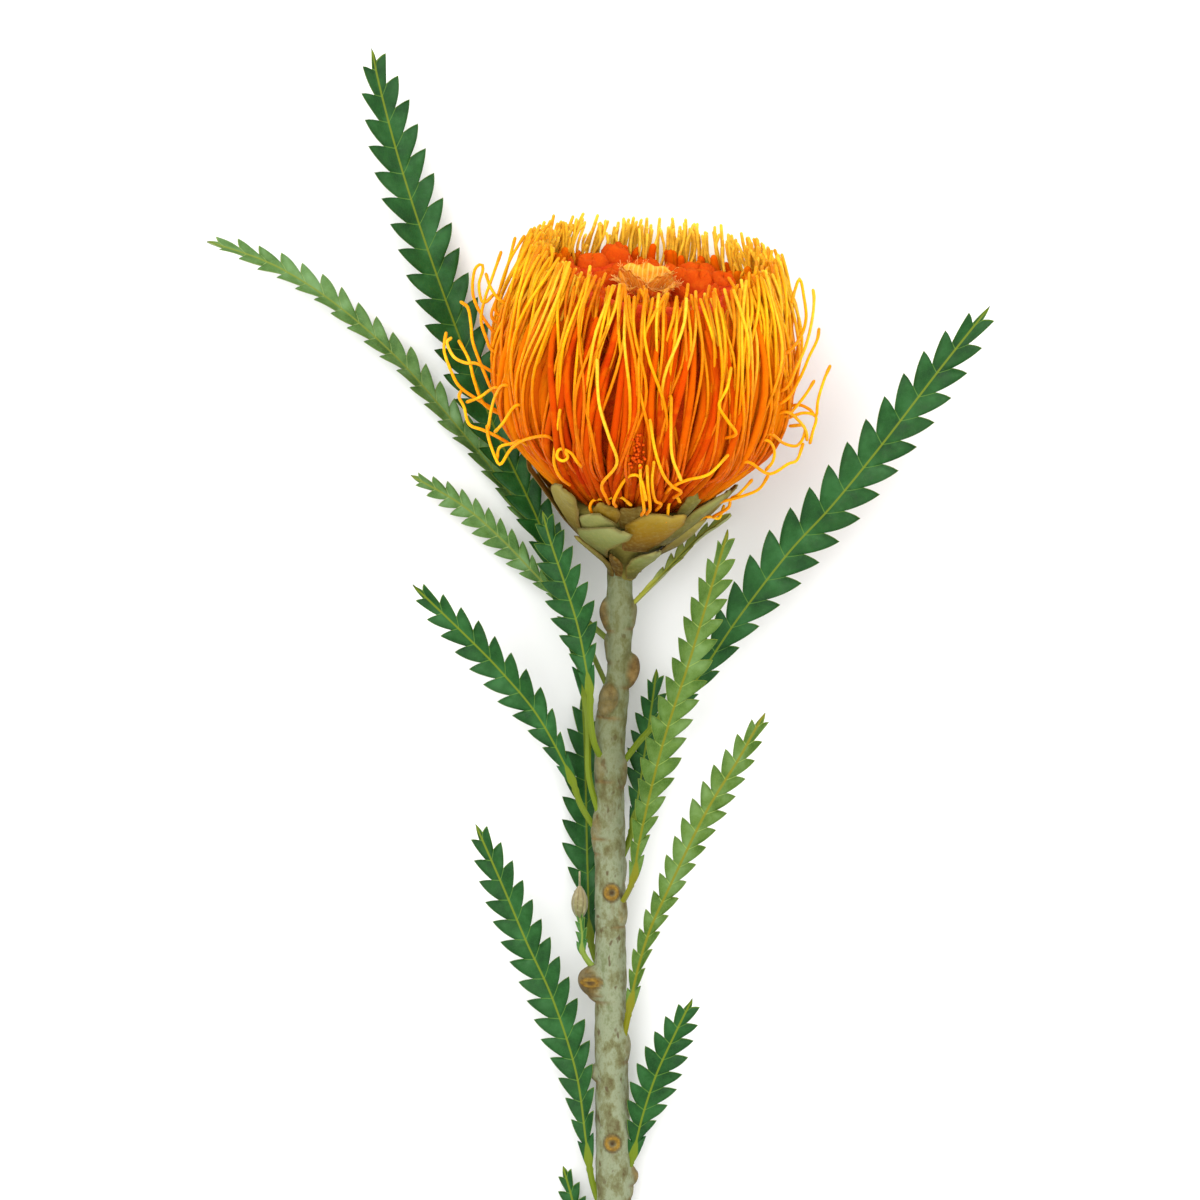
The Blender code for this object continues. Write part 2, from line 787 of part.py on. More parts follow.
def flower_head(collection, guides, parent):
    """The dense head: a ridged core of florets, with the styles standing out of it."""
    core_profile = list(reversed(CORE_PROFILE)) + [(CORE_PROFILE[0][0], 0)]
    core = turned("flower_head", core_profile, CORE_SIDES, collection, parent, "flower_head")
    for corner in core.data.vertices:
        turn = math.atan2(corner.co.y, corner.co.x)
        ridge = 1 + FLORET_RIDGE * math.cos(turn * CORE_SIDES / 2)
        corner.co.xy = corner.co.xy * ridge
    profile_curve = bpy.data.curves.new("style_section", "CURVE")
    section = profile_curve.splines.new("POLY")
    section.points.add(2)
    section.use_cyclic_u = True
    for index, target in enumerate(section.points):
        turn = math.tau * index / 3
        target.co = (math.cos(turn), math.sin(turn), 0, 1)
    profile = add("style_section", profile_curve, guides)
    profile.hide_render = True
    profile.display_type = "WIRE"
    curves = []

    def style(points, radius):
        radius *= MM
        points = [above_floor(location, radius) for location in points]
        radii = [radius] * (len(points) - 1) + [radius * 0.9]
        curves.append(tube("style", points, radii, collection, parent, profile))

    for number, family in STYLE_FAMILIES.values():
        for index in range(number):
            azimuth = 360 * (index + 0.5) / number + random.uniform(-0.8, 0.8)
            inset = 1.8 * (index % 3)
            raised = 2.4 * (index % 3)
            rooted = [(family[0][0] + raised, family[0][1] + 0.8 * raised)]
            rest = [(height, radius - inset) for height, radius in family[1:]]
            wave = random.uniform(-STYLE_WAVE, STYLE_WAVE)
            points = style_points(rooted + rest, azimuth, STYLE_SPREAD, wave)
            style(points, STYLE_RADIUS)
    for azimuth, family in LOOSE_STYLES:
        style(style_points(family, azimuth, STYLE_SPREAD, STYLE_WAVE), STYLE_RADIUS)
    number, radius, family = FLORETS
    for index in range(number):
        style(style_points(family, 360 * index / number, 2, 0), radius)
    join(core, as_meshes(curves), "MANIFOLD")
    return core


def centre_tuft(collection, parent):
    """The tuft of small bracts that stands in the dimple on top."""
    seat = TUFT_SEAT + TOUCH_GAP
    profile = [(seat + 3, 0), (seat + 2.5, 2.5), (seat + 1.2, TUFT_RADIUS), (seat, TUFT_RADIUS), (seat, 0)]
    tuft = turned("centre_bracts", profile, 10, collection, parent, "centre_bracts")
    bracts = []
    for number, length, half_width, lean in TUFT_BRACTS:
        for index in range(number):
            azimuth = 360 * index / number + random.uniform(-12, 12)
            tilt = math.radians(lean)

            def place(along, across):
                reach = 1.5 + length * along * math.sin(tilt) + 0.8 * along**2
                height = seat + 1 + length * along * math.cos(tilt)
                side = math.degrees(across * half_width / (reach + 2.5))
                return in_head(height, reach, azimuth + side)

            rows = [(0, 0.5), (0.5, 1.0), (1, 0.7)]
            bract = add("tuft_bract", bract_surface(rows, place), collection, parent)
            thicken(bract, BRACT_THICKNESS)
            bracts.append(bract)
    join(tuft, bracts, "MANIFOLD")
    keep_body(tuft.data)
    return tuft


def floor_cutter(guides, parent):
    """A block whose top is the surface that the head rests on."""
    size = Vector((160, 160, 40)) * MM
    centre = Vector((HEAD_FRAME.translation.x, HEAD_FRAME.translation.y + 40 * MM, -size.z / 2))
    place = Matrix.Translation(centre) @ Matrix.Diagonal((*size, 1))
    mesh = mesh_from("floor", lambda shape: bmesh.ops.create_cube(shape, size=1, matrix=place))
    block = add("floor", mesh, guides, parent)
    block.hide_render = True
    block.display_type = "WIRE"
    return block


def head_frame():
    """The head's own frame: z along its axis, y towards the viewer above, x to the right."""
    lean, turn = math.radians(HEAD_LEAN), math.radians(HEAD_TURN)
    level = Vector((math.sin(turn), math.cos(turn), 0))
    axis = level * math.cos(lean) + Vector((0, 0, 1)) * math.sin(lean)
    right = axis.cross(Vector((0, 0, 1))).normalized()
    frame = Matrix((right, right.cross(axis), axis)).transposed().to_4x4()
    frame.translation = point(*NECK)
    return frame


def centre_on_origin(root, pieces):
    """Moves the whole sprig so that the middle of its box's foot is the origin."""
    bpy.context.view_layer.update()
    corners = [thing.matrix_world @ corner.co for thing in pieces for corner in thing.data.vertices]
    for axis in range(2):
        values = [corner[axis] for corner in corners]
        root.location[axis] = -(min(values) + max(values)) / 2


def main():
    for old in list(bpy.data.objects):
        bpy.data.objects.remove(old)
    random.seed(SEED)
    flower = bpy.data.collections.new("banksia_flower")
    guides = bpy.data.collections.new("cutters")
    for collection in (flower, guides):
        bpy.context.scene.collection.children.link(collection)
    root = add("sprig", None, flower)
    head = add("head_axis", None, flower, root)
    head.matrix_world = HEAD_FRAME

    line = stem_path()
    stem("stem", line, flower, root, slot="stem")
    clearance = stem("stem_clearance", line, guides, root, swell=TOUCH_GAP)
    clearance.hide_render = True
    clearance.display_type = "WIRE"
    for name, leaf in LEAVES.items():
        slot = "pale_leaf" if name in PALE_LEAVES else "dark_leaf"
        blade = leaf_blade(name, leaf, line, flower, root, slot)
        apply_modifiers(blade)
        cut(blade, clearance)
    side_shoot(line, clearance, flower, root)
    involucre(flower, head)
    centre_tuft(flower, head)
    cut(flower_head(flower, guides, head), floor_cutter(guides, root))

    pieces = [thing for thing in flower.objects if thing.type == "MESH"]
    for thing in pieces:
        thing.data.shade_smooth()
        thing.data.set_sharp_from_angle(angle=math.radians(35))
    centre_on_origin(root, pieces)


HEAD_FRAME = head_frame()
main()
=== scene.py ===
"""The looks of the banksia flower: fine styles, bracts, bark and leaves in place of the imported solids.

Sizes and points are millimetres in the sprig's own frame: x across the stem, y along it from the
cut end, z up from the surface. SHIFT moves them into the model's frame and MM makes them metres.
"""

import math
import random

import bpy
import numpy as np
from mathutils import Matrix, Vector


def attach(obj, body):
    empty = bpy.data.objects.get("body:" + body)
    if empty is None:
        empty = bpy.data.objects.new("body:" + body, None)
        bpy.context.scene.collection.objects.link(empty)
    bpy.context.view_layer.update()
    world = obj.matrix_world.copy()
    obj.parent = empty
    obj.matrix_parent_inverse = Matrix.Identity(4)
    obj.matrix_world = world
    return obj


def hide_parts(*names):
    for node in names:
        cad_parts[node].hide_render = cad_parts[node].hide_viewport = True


MM = 0.001
SHIFT = np.array([3.208, -166.848, 0.0])
SEED = 11
UP = np.array([0.0, 0.0, 1.0])
# How far thin pieces, turned solids and the leaves' upper faces stay above the surface
FLOOR_GAP = 0.05
SOLID_GAP = 0.1
LEAF_GAP = 0.15

# Camera: straight above, at the photograph's distance; the photograph is 1200 pixels wide
CAMERA = (-2.7, 190.9, 1500.0)
LENS = 171.6
SENSOR = 36.0
PHOTO_SIZE = 1200
# Lamps: name, place in metres, size and power; all of them face one point
LIGHTS = [("key", (-0.5, 0.4, 1.6), 1.3, 20), ("fill", (0.8, 0.1, 1.4), 1.5, 12)]
LIGHT_TARGET = (0, 0, 0.03)
SKY_STRENGTH = 0.95
FAR_CLIP = 10
# Half the floor's side, in metres
FLOOR_SIDE = 3.0

# Stem: x, y, z and radius from the cut end to just below the head
STEM_ROUTE = [
    (2.0, 0, 4.6, 4.5), (1.2, 18, 5.8, 4.5), (0.8, 42, 7.4, 4.6), (0.5, 62, 8.7, 4.4),
    (0.1, 85, 10.2, 4.2), (0.0, 110, 11.7, 4.0), (-0.2, 130, 13.0, 4.0), (-0.2, 149, 14.2, 3.9),
    (0.2, 160, 14.9, 4.1), (1.2, 165, 15.2, 3.5), (2.0, 172, 15.6, 3.0), (2.3, 180, 16.1, 3.2),
    (2.5, 188, 16.6, 3.7), (2.4, 193, 16.8, 3.4),
]
STEM_RINGS = 420
STEM_SIDES = 56
# Swellings on the stem: y, angle round it, then half length, half width, height and how brown
BUDS = [
    (173, 5, 4.6, 2.4, 2.6, 0.95),
    (165, 120, 4.8, 2.8, 2.0, 0.6),
    (91, 172, 5.0, 3.4, 3.6, 0.75),
    (68, 178, 2.4, 1.8, 1.6, 0.3),
    (41, 0, 2.8, 1.6, 1.2, 0.7),
    (187, 165, 4.6, 1.8, 1.7, 0.8),
]
# The collar at a leaf's foot: half length, half width, height and how brown, and how far it lies back
COLLAR_SIZE = (3.8, 2.2, 0.7, 0.35)
COLLAR_BACK = 1.5
# Round scars of shed leaves: y, angle round the stem and size
SCARS = [(115, 84, 1.0), (50, 92, 1.0), (91.5, 140, 0.62)]
SCAR_RADIUS = 2.1
# The cut wood from the bark inwards: share of the radius, how far it stands out, and tone
CUT_RINGS = [
    (1.0, 0, (0.3, 0, 0, 1)), (0.93, 1, (0.75, 0, 0, 1)), (0.6, 0.9, (0.55, 0.15, 0, 1)),
    (0.25, 1.1, (0.7, 0, 0, 1)), (0.02, 0.6, (0.9, 0, 0.4, 1)),
]
CUT_RELIEF = 0.25

# Head: its axis leans from the stem towards +z
NECK = (3.8, 199.2, 17.3)
HEAD_LEAN = 18
HEAD_TURN = 5.5
STEM_END_OFFSET = -1.1

# Height along the head's axis and radius, bottom to top
CUP_PROFILE = [(0, 4.0), (2.2, 4.9), (5, 8.2), (9, 12.8), (13, 16.4), (20, 21.6), (26, 25.6)]
CUP_BASE_INSET = 1.4
CUP_TOP = 20.0
CORE_PROFILE = [
    (20.3, 15.5), (24, 19.0), (28, 22.5), (33, 26.5), (40, 29.6), (50, 30.9), (60, 30.6), (68, 28.6),
    (74, 25.0), (76, 21.0), (74.5, 16.5), (71.5, 12.0), (69.8, 7.0), (69.3, 0.0),
]
CORE_RIDGES = 40
CORE_SIDES = 160
CORE_WOBBLE = 0.012
CUP_SIDES = 64
TURNED_ROWS = 48
# Radius over the styles, for strands that lie on the head
HEAD_PROFILE = [(22, 20), (28.5, 26), (37, 35.4), (54, 39.0), (71, 37.4), (86, 31.5), (92, 25)]

# Bracts that the photograph shows: azimuth at the root and the tip, height at the root and the tip,
# half width, lift of the tip, colour from grey-green at 0 to gold at 1, and how brown the bract has dried
SEEN_BRACTS = [
    (-22, -18, -1.0, 6.6, 2.3, 0.1, 0.9, 0.85),
    (-64, -60, -1.6, 9.5, 4.0, 0.3, 0.35, 0.3),
    (26, 30, -1.4, 9.5, 3.8, 0.9, 0.0, 0.0),
    (-60, -8, 4.5, 17.0, 7.6, 1.9, 0.0, 0.0),
    (-36, -20, 9.0, 20.5, 6.4, 1.2, 0.1, 0.05),
    (10, 22, 9.0, 23.0, 7.8, 1.4, 1.0, 0.0),
    (-20, -14, 15.0, 24.5, 4.4, 1.2, 0.9, 0.3),
    (-64, -40, 9.0, 27.0, 6.0, 1.6, 0.5, 0.1),
    (-84, -80, 6.0, 28.5, 3.6, 1.2, 0.6, 0.5),
    (38, 62, 11.0, 27.5, 4.6, 1.0, 0.15, 0.1),
    (34, 38, 19.0, 29.5, 3.0, 0.6, 0.2, 0.5),
    (80, 84, 10.0, 26.0, 5.0, 0.3, 0.5, 0.2),
    (56, 64, 6.0, 18.0, 5.0, 0.0, 0.45, 0.1),
    (0, 4, 17.0, 24.5, 5.0, 0.2, 0.7, 0.75),
]
# Rows of bracts on the side that the photograph hides: how many, height at the root and the tip
HIDDEN_ROWS = [(3, -1.0, 11.0), (5, 5.0, 19.0), (5, 12.0, 26.5)]
# Degrees: where that side starts, how far it reaches, and half the width that a row's bracts share out
HIDDEN_START = 100
HIDDEN_SPAN = 160
HIDDEN_COVER = 110
BRACT_THICKNESS = 0.8
# How far a bract's one side stands out over its neighbour
BRACT_TILT = 0.5
BRACT_ROWS = 26
BRACT_COLUMNS = 17

# Families of styles: number, radius, spread of azimuth, then height and radius of their points
STYLE_FAMILIES = {
    "outer_styles": (200, 0.44, 6, [(27.5, 22.5), (37, 35.0), (54, 39.2), (71, 37.6), (85.6, 32.6)]),
    "middle_styles": (165, 0.44, 6, [(29, 22), (40, 32.6), (56, 36.8), (73, 35.6), (85.0, 31.0)]),
    "rim_styles": (140, 0.42, 4, [(60, 29.0), (70, 31.4), (78, 31.2), (85.6, 29.4)]),
}
PERIANTH_FAMILIES = [
    (170, 0.85, [(20, 16.5), (28, 26), (38, 34.2), (50, 37.2), (62, 36.4), (78, 30.5)]),
    (150, 1.15, [(20, 15), (28, 24.4), (38, 32.2), (50, 35.2), (62, 34.4), (79, 28.5)]),
]
STYLE_POINTS = 12
STYLE_STEPS = 22
PERIANTH_POINTS = 14
PERIANTH_SIDES = 8
# The rounded ends of every tube: how far beyond its line and how wide, in radii
TUBE_CAPS = np.array([[0.9, 0.02], [0.62, 0.62]])
# Degrees by which the styles crowd towards the head's sides and back
SIDE_CROWDING = 8
BACK_CROWDING = 6
# Degrees over which styles count as at the back or in front, and how much shorter they are there
BACK_REACH = 62
FRONT_REACH = 42
BACK_SHORTER = 1.8
FRONT_SHORTER = 3.6
# How much shorter and how much further in the deepest styles are
DEPTH_SHORTER = 2.0
DEPTH_INSET = 2.4
LIMB_ROWS = 22
LIMB_SIDES = 30
LIMB_HAIRS = 70
LIMB_HAIR_RADIUS = 0.05
# How much lower the limbs sit in front, and over how many degrees
LIMB_SINK = 7.0
LIMB_SINK_REACH = 55
# Rings of limbs in the dimple: number, height, distance from the axis, size across
LIMB_RINGS = [(14, 72.0, 21.5, 5.0), (11, 70.5, 16.0, 5.2), (8, 69.0, 11.0, 4.4)]

# Strands that stray from the head: points read off the photograph, in its 1200 by 1200 frame
STRAYS = [
    [(492, 330), (474, 299), (474, 272), (481, 264), (483, 270), (479, 285), (483, 303), (494, 294)],
    [(500, 300), (494, 293), (489, 284), (486, 274)],
    [(492, 350), (487, 340), (481, 320), (485, 298), (492, 278), (501, 252)],
    [(494, 392), (484, 372), (473, 343), (471, 325), (468, 308), (461, 302)],
    [(498, 388), (490, 390), (480, 397), (467, 402)],
    [(480, 401), (460, 387), (451, 371), (444, 350), (446, 333)],
    [(496, 436), (483, 430), (469, 424), (464, 407), (459, 397), (461, 391)],
    [(484, 404), (474, 380), (469, 360), (459, 341)],
    [(478, 364), (466, 363), (454, 357), (447, 343), (451, 338)],
    [(546, 436), (524, 440), (511, 449), (501, 464), (496, 459), (489, 440), (487, 426)],
    [(505, 385), (497, 393), (492, 407), (488, 430)],
    [(520, 441), (514, 443), (500, 447), (497, 459)],
    [(517, 405), (503, 423), (495, 432)],
    [(492, 318), (497, 298), (505, 275), (515, 238)],
    [(496, 312), (499, 292), (509, 262), (524, 236)],
    [(788, 352), (801, 336), (806, 318), (804, 298), (800, 279), (795, 290), (792, 302)],
    [(786, 388), (797, 366), (806, 345), (812, 320), (814, 300), (813, 290)],
    [(786, 400), (800, 378), (809, 357), (817, 340), (819, 329)],
    [(796, 405), (809, 409), (816, 416), (818, 400), (824, 380), (830, 366)],
    [(788, 418), (804, 413), (816, 417), (813, 431), (810, 443)],
    [(786, 412), (799, 421), (806, 431), (807, 440)],
    [(770, 434), (783, 443), (796, 446), (803, 438), (804, 426), (790, 426)],
    [(748, 462), (769, 474), (788, 464), (797, 460), (803, 444)],
    [(766, 440), (774, 449), (773, 461), (766, 470)],
    [(700, 508), (721, 502), (743, 496), (759, 489), (768, 476)],
    [(728, 508), (731, 499), (739, 494), (752, 480)],
    [(694, 522), (703, 518), (711, 517), (719, 518), (724, 506)],
    [(786, 416), (795, 408), (806, 394), (814, 381)],
    [(606, 497), (602, 484), (617, 463), (609, 437), (599, 403), (597, 360)],
    [(590, 508), (594, 500), (606, 499), (620, 497), (631, 505)],
    [(614, 500), (624, 481), (633, 475), (641, 479), (646, 500)],
    [(578, 463), (571, 453), (560, 449), (557, 457), (563, 461), (568, 457), (565, 451)],
    [(560, 477), (554, 462), (556, 440), (560, 410)],
    [(681, 492), (672, 486), (663, 474), (655, 450), (650, 420)],
    [(672, 487), (687, 480), (709, 474), (728, 455)],
    [(667, 519), (669, 504), (676, 497), (680, 502)],
    [(644, 509), (641, 486), (640, 465)],
    [(650, 508), (648, 488), (647, 466)],
    [(661, 504), (655, 500), (652, 482), (654, 462)],
    [(736, 434), (727, 420), (719, 405), (727, 388), (731, 368)],
    [(671, 397), (671, 420), (672, 455), (681, 480)],
]
STRAY_RADIUS = 0.45
STRAY_STEPS = 44
# The red cluster low in front, in the photograph's frame: its middle, its spread, and how many knobs
CLUSTER_MIDDLE = (636, 450)
CLUSTER_SPREAD = (3.6, 16)
CLUSTER_KNOBS = 40
KNOB_RADIUS = 0.34

# The tuft of bracts in the dimple: number, length, half width, lean from the axis
TUFT_SEAT = 70.65
TUFT_BRACTS = [(3, 9.4, 6.4, 26), (5, 8.5, 4.6, 50)]
TUFT_ASIDE = -1.8
TUFT_ROWS = 16
TUFT_COLUMNS = 41
TUFT_THICKNESS = 0.7
TUFT_HAIRS = 110
TUFT_HAIR_RADIUS = 0.06

# Leaves: foot on the stem (y, angle round it), way the face looks, fold of the halves, half width,
# lobe spacing, bare petiole, then the midrib's points
LEAVES = {
    "leaf_upper_left": dict(
        foot=(134, 150), face=(0.30, 0, 0.95), fold=10, half_width=8.3, spacing=7.3, growing=0.5, petiole=32,
        route=[
            (-5.6, 145, 16.8), (-5.8, 156, 16.5), (-6.6, 167, 15.5), (-8.7, 180, 13.8),
            (-13.0, 196, 12.5), (-19.6, 213, 10), (-30, 235, 7.5), (-38.6, 257, 7), (-48, 283, 9),
            (-55, 305, 12), (-60, 324, 15), (-62, 334, 17),
        ],
    ),
    "leaf_front_left": dict(
        foot=(149, 130), face=(-0.15, 0, 0.99), fold=8, half_width=6.6, spacing=5.4, petiole=19,
        route=[
            (-4.2, 154, 19.6), (-5.2, 161, 20.6), (-5.4, 168, 21.4), (-8.1, 183, 23),
            (-11.7, 195, 24.5), (-15.4, 206, 26), (-17.6, 214, 27),
        ],
    ),
    "leaf_arching_left": dict(
        foot=(167, 205), face=(0.38, 0.35, 0.86), fold=22, half_width=4.6, spacing=6.0, petiole=27,
        route=[
            (-5.8, 179, 7.5), (-15, 200, 4.5), (-27.5, 220, 4.2), (-41, 237, 5), (-56, 254, 6.5),
            (-72, 268, 8.5), (-88, 278, 10.5), (-105, 284, 12.5),
        ],
    ),
    "leaf_pale_left": dict(
        foot=(180, 192), face=(0.10, -0.30, 0.95), fold=16, half_width=4.4, spacing=4.4, petiole=18,
        route=[
            (-7.9, 187, 9.6), (-16, 194, 7.8), (-28.5, 207, 7), (-39, 216, 8), (-52, 223.5, 11),
        ],
    ),
    "leaf_mid_left": dict(
        foot=(130, 178), face=(-0.20, -0.12, 0.97), fold=8, half_width=6.0, spacing=6.4, petiole=14,
        route=[
            (-7.6, 137.5, 13.6), (-10.9, 146.5, 15), (-18.8, 161, 18), (-27.8, 172, 20),
            (-36.5, 181, 22), (-51, 195, 25),
        ],
    ),
    "leaf_back_left": dict(
        foot=(93, 222), face=(0.10, 0, 0.99), fold=6, half_width=6.8, spacing=6.6, petiole=9,
        route=[
            (-5.2, 102, 5.6), (-6, 120, 4.6), (-6.4, 139, 4.6), (-6.8, 154, 5.2), (-7.4, 167, 6),
        ],
    ),
    "leaf_low_left": dict(
        foot=(32, 178), face=(-0.12, 0, 0.99), fold=8, half_width=6.5, spacing=6.1, petiole=12,
        route=[
            (-4.9, 40, 8.2), (-6.3, 50, 9), (-8.9, 68, 10), (-14.9, 87, 12), (-21.7, 102, 14),
            (-28, 117, 16), (-35, 133, 18),
        ],
    ),
    "leaf_bottom_left": dict(
        foot=(7, 192), face=(-0.10, 0, 0.99), fold=10, half_width=4.8, spacing=5.0, petiole=10,
        route=[
            (-5.6, 16, 3.4), (-8.2, 27, 3.2), (-10.4, 36, 4), (-12.4, 43, 5.2),
        ],
    ),
    "leaf_upper_right": dict(
        foot=(147.5, 8), face=(0.10, 0.10, 0.99), fold=8, half_width=7.8, spacing=7.9, petiole=16,
        route=[
            (7.4, 154, 13), (13, 160, 12.5), (21.5, 169, 13), (33, 186, 16), (46, 203, 19),
            (57, 215, 22), (70, 231, 25), (84.5, 250, 28), (97.5, 266.5, 31),
        ],
    ),
    "leaf_front_right": dict(
        foot=(111, 32), face=(0.35, -0.10, 0.93), fold=14, half_width=5.9, spacing=5.6, petiole=8,
        route=[
            (5.6, 118, 17.5), (7.2, 128, 20), (11, 145, 24), (14.8, 159, 27), (19.4, 173, 29),
            (23.3, 186, 31), (30, 209, 33),
        ],
    ),
    "leaf_back_right": dict(
        foot=(122, -28), face=(0.10, 0, 0.99), fold=8, half_width=5.2, spacing=5.6, petiole=10,
        route=[
            (5.4, 130, 8.5), (7.4, 141, 7), (9.2, 153, 6.2), (11, 165, 6.6), (12, 173, 7.4),
        ],
    ),
    "leaf_pale_right": dict(
        foot=(76, 12), face=(-0.25, 0.10, 0.96), fold=12, half_width=5.3, spacing=5.6,
        growing=0.62, petiole=9,
        route=[
            (4.9, 84, 14), (7.2, 95, 17), (10.2, 105, 19), (14.1, 114, 22), (24.3, 135.5, 28),
            (33.3, 150.5, 31), (39.6, 162, 33),
        ],
    ),
    "leaf_low_right": dict(
        foot=(40, -4), face=(0.15, 0, 0.99), fold=8, half_width=6.6, spacing=5.5, petiole=5,
        route=[
            (6.0, 47, 9.2), (8.4, 57, 11.5), (11.8, 67.5, 14), (16.2, 77.5, 17), (21.2, 88, 20),
        ],
    ),
    "leaf_neck_right": dict(
        foot=(188.5, 4), face=(-0.42, 0.48, 0.77), fold=38, half_width=2.8, spacing=4.4, petiole=5,
        route=[
            (9.2, 193.0, 17.8), (14.0, 197.7, 17.8), (18.7, 202.8, 17.6), (23.6, 207.4, 17.2),
            (27.8, 210.3, 16.6), (31.4, 212.9, 16.0),
        ],
    ),
    "side_shoot": dict(
        foot=(93, 168), face=(-0.25, 0, 0.97), fold=10, half_width=2.2, spacing=3.4, petiole=4,
        route=[(-7.0, 99, 12.0), (-7.2, 104, 11.8), (-7.8, 109, 11.6), (-8.0, 112, 11.6)],
    ),
}
PALE_LEAVES = (
    "leaf_arching_left", "leaf_pale_left", "leaf_front_right", "leaf_pale_right", "leaf_neck_right",
)
PETIOLE_HALF_WIDTH = 0.82
# Cuts between lobes: share of the half width that stays, and how far they slant ahead
SINUS_DEPTH = 0.42
SINUS_SLANT = 0.45
# Shares of the pitch: how far a lobe's tip reaches past the next cut, and how far the right side is ahead
LOBE_REACH = 0.17
LOBE_STAGGER = 0.3
# Width of the lobes: share at the base, part of the blade over which they grow, and taper at the tip
BASE_SHARE = 0.35
GROWING_SHARE = 0.3
TIP_TAPER = 0.58
# The end lobe's length in pitches
END_SHARE = 0.85
# Rows to a lobe, and the share of them that goes out to its tip; then rows of the stalk and of the end lobe
LOBE_ROWS = 16
LOBE_TURN = 0.75
STALK_ROWS = 14
TIP_ROWS = 9
# How deep a leaf's foot starts inside the stem
ROOT_DEPTH = 1.2
# Columns of a half blade, over the midrib and beyond it, and the tone of its underside
RIB_SHARES = np.array([0, 0.35, 0.7, 1.0])
BLADE_SHARES = np.linspace(0, 1, 8)[1:]
UNDERSIDE = 0.35
BLADE_HALF_THICKNESS = 0.3
RIB_HALF_THICKNESS = 0.7
# The side shoot's bud: its middle, and its half sizes
SHOOT_BUD = (-8.0, 112.2, 11.6)
SHOOT_BUD_SIZE = (2.3, 4.6, 2.0)

# How far red, green and blue light travels under the surface, in metres
SUBSURFACE_RADIUS = (0.002, 0.0012, 0.0004)
# Where the mixing node has its two colours and its result
MIX_FIRST, MIX_SECOND, MIX_RESULT = 6, 7, 2


def seen_colour(red, green, blue):
    """The linear colour of one that the eye sees as these values from 0 to 255."""
    shares = np.array([red, green, blue]) / 255
    return tuple(float(v) for v in np.where(shares < 0.04, shares / 12.92, ((shares + 0.055) / 1.055) ** 2.4))


def unit(vectors):
    """The same directions with a length of 1."""
    return vectors / np.linalg.norm(vectors, axis=-1, keepdims=True)


def bell(away, width, power=2):
    """1 in the middle, falling to 0 over about twice the width; 4 gives it a flat top."""
    return np.exp(-((away / width) ** power))


def wrapped(degrees):
    """The same angle from -180 to 180 degrees."""
    return (degrees + 180) % 360 - 180


class Path:
    """A smooth line through a few points, read by the distance along it."""

    STEPS = 10

    def __init__(self, points):
        points = np.array(points, float)
        padded = np.vstack([2 * points[0] - points[1], points, 2 * points[-1] - points[-2]])
        share = np.arange(1, self.STEPS + 1)[:, None] / self.STEPS
        rows = [points[:1]]
        for before, start, end, after in zip(padded, padded[1:], padded[2:], padded[3:]):
            bend = (before * 2 - start * 5 + end * 4 - after) * share**2
            turn = (start * 3 - before - end * 3 + after) * share**3
            rows.append(start + ((end - before) * share + bend + turn) / 2)
        self.points = np.vstack(rows)
        gaps = np.linalg.norm(np.diff(self.points, axis=0), axis=1)
        self.marks = np.concatenate([[0], np.cumsum(gaps)])
        self.length = self.marks[-1]

    def at(self, distance):
        """Points at one distance or several; past either end they go on straight."""
        distance = np.asarray(distance, float)
        inside = np.clip(distance, 0, self.length)
        found = np.stack([np.interp(inside, self.marks, column) for column in self.points.T], axis=-1)
        last = (self.points[-1] - self.points[-2]) / (self.marks[-1] - self.marks[-2])
        return found + (distance - inside)[..., None] * last

    def direction(self, distance):
        """The direction of the line at one distance or several."""
        return unit((self.at(distance + 1.0) - self.at(distance - 1.0))[..., :3])


def along_profile(profile, height):
    """Radius at a height, read from a list of heights and radii that rise."""
    return np.interp(height, [row[0] for row in profile], [row[1] for row in profile])


def head_axes():
    """The head's own axes: right, towards the viewer above, and along its axis."""
    lean, turn = math.radians(HEAD_LEAN), math.radians(HEAD_TURN)
    level = np.array([math.sin(turn), math.cos(turn), 0])
    axis = level * math.cos(lean) + UP * math.sin(lean)
    right = unit(np.cross(axis, UP))
    return np.stack([right, np.cross(right, axis), axis])


def in_head(height, radius, azimuth):
    """Points of the head; azimuth 0 faces up from the surface and 90 the right."""
    turn = np.radians(azimuth)
    local = np.stack(np.broadcast_arrays(radius * np.sin(turn), radius * np.cos(turn), height), axis=-1)
    return np.array(NECK) + local @ HEAD


def outward(azimuth):
    """The direction away from the head's axis at an azimuth."""
    turn = np.radians(azimuth)
    return np.stack([np.sin(turn), np.cos(turn), np.zeros_like(turn)], axis=-1) @ HEAD


def above_floor(points, clearance):
    """The same points, raised where they would be lower than this above the floor."""
    points = points.copy()
    points[..., 2] = np.maximum(points[..., 2], clearance)
    return points


def seen_at(pixel_x, pixel_y, height):
    """The point of this height that the camera sees at a pixel of the photograph."""
    scale = (CAMERA[2] - height) * SENSOR / LENS / PHOTO_SIZE
    x = CAMERA[0] + (pixel_x - PHOTO_SIZE / 2) * scale
    y = CAMERA[1] - (pixel_y - PHOTO_SIZE / 2) * scale
    return np.array([x, y, height])


def on_head(pixel_x, pixel_y, lift):
    """The point at a pixel that lies this far off the head's styles, or level with its side beyond them."""
    closest = None
    for height in np.arange(80, 3, -0.5):
        found = seen_at(pixel_x, pixel_y, height)
        local = HEAD @ (found - np.array(NECK))
        gap = math.hypot(local[0], local[1]) - along_profile(HEAD_PROFILE, local[2]) - lift
        if gap <= 0:
            return found
        if closest is None or gap < closest[0]:
            closest = (gap, found)
    return closest[1]


